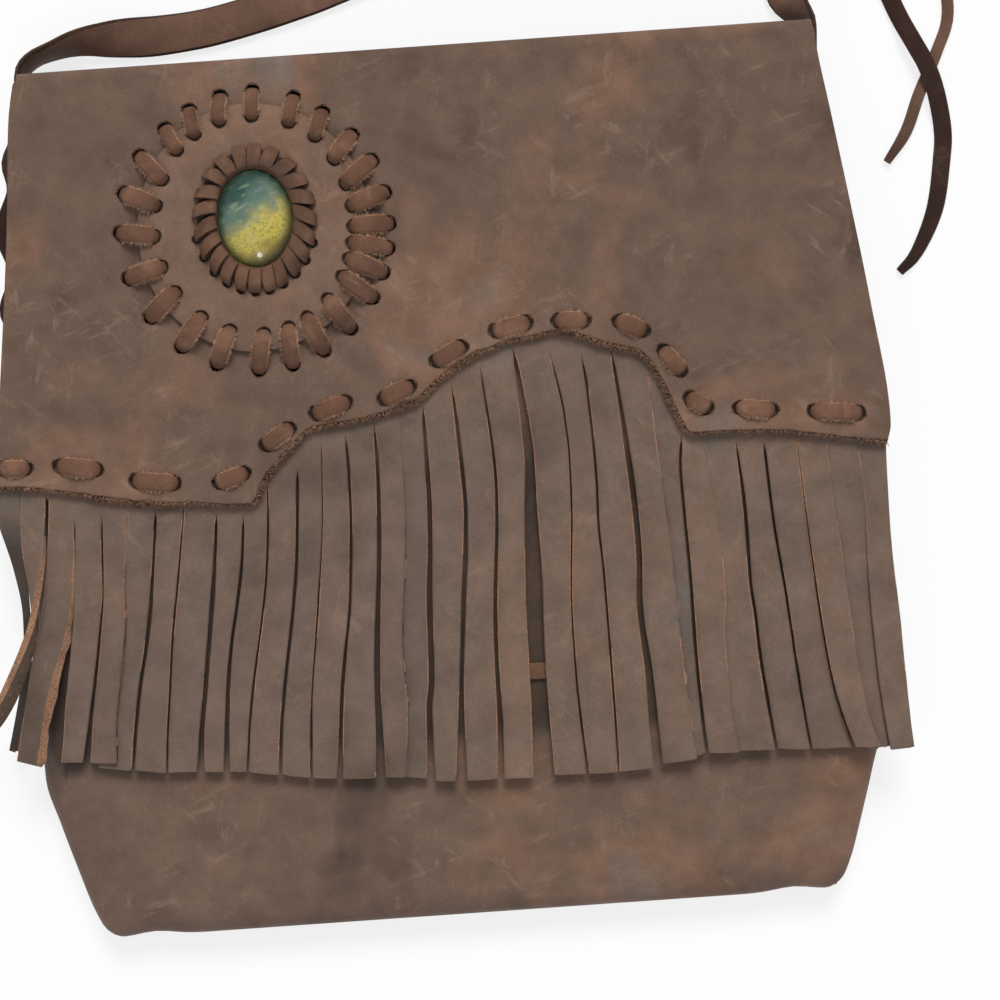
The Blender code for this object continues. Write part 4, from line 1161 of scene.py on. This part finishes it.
# %% Lacing round the disc
lacing = Parts()
for i in range(len(DISC_STITCHES)):
    outer, inner = disc_stitch_ends(i)
    way = (inner - outer).normalized()
    low = flap_height(*outer)
    puff = picker.uniform(-0.15, 0.35)
    size = (inner - outer).length / 13.4
    broad = picker.uniform(6.3, 7.1) * (0.35 + 0.65 * size)
    knots = ((0, low - 5.5, 3.6), (-0.4, low - 3, 3.8), (-0.6, low - 1.5, 4.2),
             (0.4, low + 0.2, 5.0), (1.7, low + 1.3, 0.97 * broad), (6.4, 32.4 + puff, broad),
             (11.4, 32.4 + puff, 0.97 * broad), (12.9, 31.6, 5.0), (13.9, 30.1, 4.1),
             (13.7, 28.0, 3.7), (13.4, 25.0, 3.4))
    centres = [spot(*(outer + way * far * size), high) for far, high, wide in knots]
    lace_over(lacing, centres, [k[2] for k in knots], way, 10, 0.05, 8, 1.4, (-1, 1))
    onward = disc_stitch_ends((i + 1) % len(DISC_STITCHES))[0]
    lace_under(lacing, inner, onward, 24.0, 0.004, 0.0015)
# The lace's edges take the pale cut edge, a painted highlight.
disc_lace = lacing.build("disc_lace", [lace_leather, lit_edge, pale_fibre])
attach(disc_lace, "flap")
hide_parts("medallion_lacing")
print("disc lace:", len(disc_lace.data.polygons), "faces")

# %% [markdown]
# ## The stone and its whipped ring
# The stone is a domed oval. A UV sphere cut in half gives that dome; it is scaled to size, and
# its foot goes down into the ring. The ring that holds it is lace whipped over and over a core,
# so each turn is a short strip over the core and lies a little on the one before.

# %% Stone material
stone_glass, tree, shader = blank("Layered stone")
STONE_SHOWN = (14.0, 18.5)
centre = spot(*STONE_MIDDLE, 28.2)
place = add(tree, "ShaderNodeTexCoord").outputs["Object"]
mapping = add(tree, "ShaderNodeMapping", vector_type="POINT")
shown_x, shown_y = STONE_SHOWN[0] / 1000, STONE_SHOWN[1] / 1000
mapping.inputs["Location"].default_value = (-centre.x / shown_x, -centre.y / shown_y, 0)
mapping.inputs["Scale"].default_value = (1 / shown_x, 1 / shown_y, 1)
tree.links.new(place, mapping.inputs["Vector"])
split = add(tree, "ShaderNodeSeparateXYZ")
tree.links.new(mapping.outputs["Vector"], split.inputs["Vector"])
wisps = sums(tree, "MULTIPLY", sums(tree, "SUBTRACT", noise_of(tree, 170, 5.0, 0.6), 0.5), 0.9)
slope = sums(tree, "MULTIPLY", split.outputs["X"], -0.45)
level = sums(tree, "ADD", sums(tree, "ADD", split.outputs["Y"], slope), wisps)
level = sums(tree, "ADD", sums(tree, "MULTIPLY", level, 0.5), 0.5)
STONE_STOPS = (
    (0.05, tone(132, 112, 50)), (0.24, tone(192, 174, 74)), (0.40, tone(186, 172, 88)),
    (0.50, tone(132, 134, 96)), (0.60, tone(96, 116, 98)), (0.72, tone(76, 102, 92)),
    (0.86, tone(34, 68, 62)))
colour = ramp(tree, level, STONE_STOPS)
sandy = greys(tree, level, 0.42, 1, 0.54, 0)
specks = times(tree, greys(tree, noise_of(tree, 1100, 3.0, 0.7), 0.50, 0, 0.64, 0.8), sandy)
colour = blend_in(tree, "MIX", specks, colour, tone(128, 112, 46))
veins = greys(tree, noise_of(tree, 420, 5.0, 0.6, (3.2, 1, 1), 0.55), 0.55, 0, 0.70, 0.55)
colour = blend_in(tree, "MIX", veins, colour, tone(158, 168, 130))
crack = add(tree, "ShaderNodeTexVoronoi", feature="DISTANCE_TO_EDGE", Scale=120)
tree.links.new(place, crack.inputs["Vector"])
fine = greys(tree, crack.outputs["Distance"], 0.0, 0.28, 0.02, 0)
colour = blend_in(tree, "MIX", fine, colour, tone(92, 86, 58))
flat_place = add(tree, "ShaderNodeCombineXYZ")
tree.links.new(split.outputs["X"], flat_place.inputs["X"])
tree.links.new(split.outputs["Y"], flat_place.inputs["Y"])
far = add(tree, "ShaderNodeVectorMath", operation="LENGTH")
tree.links.new(flat_place.outputs["Vector"], far.inputs[0])
rim = greys(tree, far.outputs["Value"], 0.72, 0, 0.96, 0.85)
colour = blend_in(tree, "MIX", rim, colour, tone(44, 58, 46))
tree.links.new(colour, shader.inputs["Base Color"])
shader.inputs["Roughness"].default_value = 0.22
shader.inputs["Coat Weight"].default_value = 0.6
shader.inputs["Coat Roughness"].default_value = 0.06

# %% Stone
bpy.ops.object.select_all(action="DESELECT")
bpy.ops.mesh.primitive_uv_sphere_add(segments=72, ring_count=48, radius=1, location=centre)
stone = bpy.context.active_object
stone.name = "stone"
bpy.ops.object.mode_set(mode="EDIT")
bpy.ops.mesh.select_all(action="SELECT")
bpy.ops.mesh.bisect(plane_co=centre, plane_no=(0, 0, 1), use_fill=True, clear_inner=True)
bpy.ops.mesh.select_all(action="SELECT")
STONE_SIZE = (0.0150, 0.0195, 0.0088)
bpy.ops.transform.resize(value=STONE_SIZE, center_override=centre)
bpy.ops.object.mode_set(mode="OBJECT")
bpy.ops.object.transform_apply(location=True, rotation=True, scale=True)
bpy.ops.object.shade_smooth_by_angle(angle=math.radians(50))
stone.data.materials.append(stone_glass)
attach(stone, "flap")
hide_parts("cabochon")
print("stone top at", round(max(v.co.z for v in stone.data.vertices) * 1000, 1), "mm")

# %% Whipped ring
ring = Parts()


def oval(turn, out, height):
    """A place round the stone, `out` beyond its shown edge."""
    return spot(STONE_MIDDLE[0] + (STONE_SHOWN[0] + out) * math.cos(turn),
                STONE_MIDDLE[1] - (STONE_SHOWN[1] + out) * math.sin(turn), height)


CORE_STEPS = 96
CORE_SIDES = 10
core = []
for k in range(CORE_SIDES):
    turn = math.tau * k / CORE_SIDES
    core.append((4.3 + 2.8 * math.cos(turn), 31.9 + 1.3 * math.sin(turn)))
for i in range(CORE_STEPS):
    for out, height in core:
        ring.points.append(oval(math.tau * i / CORE_STEPS, out, height))
for i in range(CORE_STEPS):
    a, b = i * CORE_SIDES, (i + 1) % CORE_STEPS * CORE_SIDES
    for k in range(CORE_SIDES):
        m = (k + 1) % CORE_SIDES
        ring.face((a + k, b + k, b + m, a + m), 1)
HUMP = ((8.1, 30.4), (8.4, 31.2), (8.1, 32.4), (6.9, 33.8), (4.9, 34.5), (2.9, 34.3), (1.2, 33.5),
        (0.5, 32.2), (0.4, 30.6))
HUMP_WIDE = ((0, 3.6), (0.12, 4.4), (0.3, 5.2), (0.6, 5.6), (0.85, 5.2), (1, 4.4))
for i in range(TURNS):
    turn = math.tau * (i + 0.2) / TURNS
    wobble = picker.uniform(-0.02, 0.02)
    line = []
    for out, height in HUMP:
        here = turn - LEAN * math.cos(turn) * (out - 2) / 9 + wobble
        line.append(oval(here, out, height + 0.15))
    smooth = smooth_route(line, 0.0006)
    wide = [along(HUMP_WIDE, j / (len(smooth) - 1)) / 1000 for j in range(len(smooth))]
    ahead = (oval(turn + 0.02, 4.5, 32) - oval(turn - 0.02, 4.5, 32)).normalized()
    tipped = (ahead + Vector((0, 0, picker.uniform(0.24, 0.36)))).normalized()
    strip(ring, smooth, [tipped] * len(smooth), wide, [0.0015] * len(smooth), dome=0.05)
ring_lace = ring.build("ring_lace", [ring_leather, dark_edge_and_shade, raw_edge])
face_outward(ring_lace)
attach(ring_lace, "flap")
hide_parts("cabochon_lacing")
print("ring:", len(ring_lace.data.polygons), "faces")

# %% [markdown]
# ## The shoulder strap
# The strap is one long flat band. It leaves both sides of the pouch, comes up behind the top
# corners and lies above the bag in two easy bends. Its roll changes on the way: flat where it
# turns over at the left, and standing on its edge for the long runs.

# %% Strap
# across, above the fold, roll in degrees
STRAP = (
    (-149.2, 0.5, 88), (-145.0, 7.5, 84), (-136.0, 11.0, 78), (-126.0, 13.5, 60), (-112.0, 14.5, 30),
    (-97.0, 15.0, 8), (-78.0, 17.0, 0), (-59.0, 21.0, 0), (-40.0, 26.0, 0), (-18.0, 33.0, 15),
    (5.0, 39.0, 45), (30.0, 43.0, 80), (60.0, 44.5, 90), (95.0, 45.0, 90), (113.0, 49.0, 90),
    (121.0, 57.5, 90), (113.0, 66.0, 90), (95.0, 70.0, 90), (60.0, 70.5, 90), (0.0, 70.5, 90),
    (-60.0, 70.5, 90), (-100.0, 71.0, 90), (-118.0, 75.0, 90), (-126.0, 83.5, 90),
    (-118.0, 92.0, 90), (-100.0, 96.0, 90), (-60.0, 96.5, 90), (0.0, 96.5, 90), (60.0, 96.5, 90),
    (110.0, 96.0, 90), (138.0, 93.0, 90), (155.0, 83.0, 90), (160.0, 68.0, 90), (156.0, 54.0, 85),
    (148.0, 42.0, 60), (142.0, 28.0, 30), (141.0, 16.0, 22), (145.0, 7.0, 55), (149.4, -0.5, 86))
LASHED = (19.8, 39.6, 60)


def strap_side(down):
    return along(BODY_SIDE, down) + 1.8


stations = [(-strap_side(d), -d, 90) for d in reversed(LASHED)] + list(STRAP)
stations += [(strap_side(d), -d, 90) for d in LASHED]
line = smooth_route([Vector((x, above, 0, roll / 4)) / 1000 for x, above, roll in stations], 0.003)
centres, rolls = [], []
for point in line:
    roll = point[3] * 4000
    turn = math.radians(roll)
    height = 0.3 + 7.5 * abs(math.sin(turn)) + 1.5 * abs(math.cos(turn))
    centres.append(Vector((point[0], TOP + point[1], height / 1000)))
    rolls.append(roll)
strap_parts = Parts()
wide = [0.015 * (1 + 0.03 * rough(i, 0, 9, 41)) for i in range(len(centres))]
strip(strap_parts, centres, level_across(centres, rolls), wide, [0.003] * len(centres))
strap = strap_parts.build("strap_band", [strap_leather, dark_edge_and_shade], smooth=35)
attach(strap, "bag")
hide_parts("strap")
print("strap is", round(line_length(centres) * 1000), "mm long")

# %% [markdown]
# ## Small bindings
# A short thong lashes each strap end to the side at two places, another closes the front under
# the fringe, and a small knot gathers the tie laces. Each is a strip along a short line.

# %% Lashings, closing thong and knot
def bind(name, node, points, across, width, thickness, finish, edge):
    parts = Parts()
    line = smooth_route(points, 0.0006)
    strip(parts, line, [across] * len(line), [width] * len(line), [thickness] * len(line))
    made = parts.build(name, [finish, edge])
    face_outward(made)
    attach(made, "bag")
    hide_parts(node)
    return made


for side_name, sign in (("left", -1), ("right", 1)):
    for number in (1, 2):
        node = f"lashing_{side_name}_{number}"
        low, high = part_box(node)
        inside, outside = (low.x, high.x) if sign > 0 else (high.x, low.x)
        y, z = (low.y + high.y) / 2, (low.z + high.z) / 2
        reach = (high.y - low.y) / 2
        points = [Vector((inside, y - reach + 0.001, z)),
                  Vector((outside - sign * 0.0012, y - reach + 0.0009, z)),
                  Vector((outside - sign * 0.0006, y, z)),
                  Vector((outside - sign * 0.0012, y + reach - 0.0009, z)),
                  Vector((inside, y + reach - 0.001, z))]
        bind(f"strap_lashing_{side_name}_{number}", node, points, Vector((0, 0, 1)),
             (high.z - low.z) * 0.95, 0.0012, dark_leather, dark_edge_and_shade)
low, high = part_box("closure_thong")
y = (low.y + high.y) / 2
points = [Vector((low.x + 0.001, y, low.z + 0.001)),
          Vector((low.x + 0.0016, y, high.z - 0.0016)),
          Vector(((low.x + high.x) / 2, y, high.z - 0.0009)),
          Vector((high.x - 0.0016, y, high.z - 0.0016)),
          Vector((high.x - 0.001, y, low.z + 0.001))]
bind("closing_thong", "closure_thong", points, Vector((0, 1, 0)), high.y - low.y, 0.0016,
     lace_leather, raw_edge)
low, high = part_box("tie_knot")
middle = (low + high) / 2
points = []
for k in range(27):
    turn = math.tau * k / 10
    climb = -0.0026 + 0.0052 * k / 26
    points.append(middle + Vector((0.0029 * math.cos(turn), 0.0029 * math.sin(turn), climb)))
bind("lace_knot", "tie_knot", points, Vector((0, 0, 1)), 0.0034, 0.0022, dark_leather, dark_edge_and_shade)

# %% [markdown]
# ## Table, light and the look of the picture
# The photograph has a white ground and soft light from above the bag's top edge. The floor
# catches the shadow, and a share of plain white that only the camera and reflections see lifts
# it to white. The lamps stay plain, so that each colour comes out about as it was mixed.

# %% Floor, lights and world
bpy.ops.object.select_all(action="DESELECT")
bpy.ops.mesh.primitive_plane_add(size=6, location=(0, 0, -0.0002))
floor = bpy.context.active_object
floor.name = "floor"
floor_white, tree, shader = blank("Pale table")
shader.inputs["Base Color"].default_value = grey(0.9)
shader.inputs["Roughness"].default_value = 0.9
glow = add(tree, "ShaderNodeEmission", Color=grey(1), Strength=1.0)
path = add(tree, "ShaderNodeLightPath")
seen = sums(tree, "MAXIMUM", path.outputs["Is Camera Ray"], path.outputs["Is Glossy Ray"])
seen = sums(tree, "MAXIMUM", seen, path.outputs["Is Transmission Ray"])
share = sums(tree, "MULTIPLY", seen, 0.78)
mixed = add(tree, "ShaderNodeMixShader")
tree.links.new(share, mixed.inputs["Fac"])
tree.links.new(shader.outputs[0], mixed.inputs[1])
tree.links.new(glow.outputs[0], mixed.inputs[2])
tree.links.new(mixed.outputs[0], tree.nodes["Material Output"].inputs["Surface"])
floor.data.materials.append(floor_white)


def lamp(name, way, strength, softness, shiny=False):
    data = bpy.data.lights.new(name, "SUN")
    data.energy = strength
    data.angle = math.radians(softness)
    made = bpy.data.objects.new(name, data)
    made.rotation_euler = Vector(way).to_track_quat("Z", "Y").to_euler()
    made.visible_glossy = shiny
    bpy.context.scene.collection.objects.link(made)


lamp("key", (0.10, 0.75, 0.80), 2.5, 24)
lamp("low fill", (-0.25, -0.60, 1.0), 0.35, 40)
lamp("spark", (0.03, -0.98, 1.0), 0.30, 10, shiny=True)
world = bpy.data.worlds.new("Soft room")
bpy.context.scene.world = world
world.use_nodes = True
tree = world.node_tree
room = tree.nodes["Background"]
room.inputs["Color"].default_value = grey(1)
room.inputs["Strength"].default_value = 0.36
white = add(tree, "ShaderNodeBackground", Color=grey(1), Strength=1.0)
path = add(tree, "ShaderNodeLightPath")
seen = sums(tree, "MAXIMUM", path.outputs["Is Camera Ray"], path.outputs["Is Transmission Ray"])
mixed = add(tree, "ShaderNodeMixShader")
tree.links.new(seen, mixed.inputs["Fac"])
tree.links.new(room.outputs[0], mixed.inputs[1])
tree.links.new(white.outputs[0], mixed.inputs[2])
tree.links.new(mixed.outputs[0], tree.nodes["World Output"].inputs["Surface"])
print("floor, three lamps and a soft room")
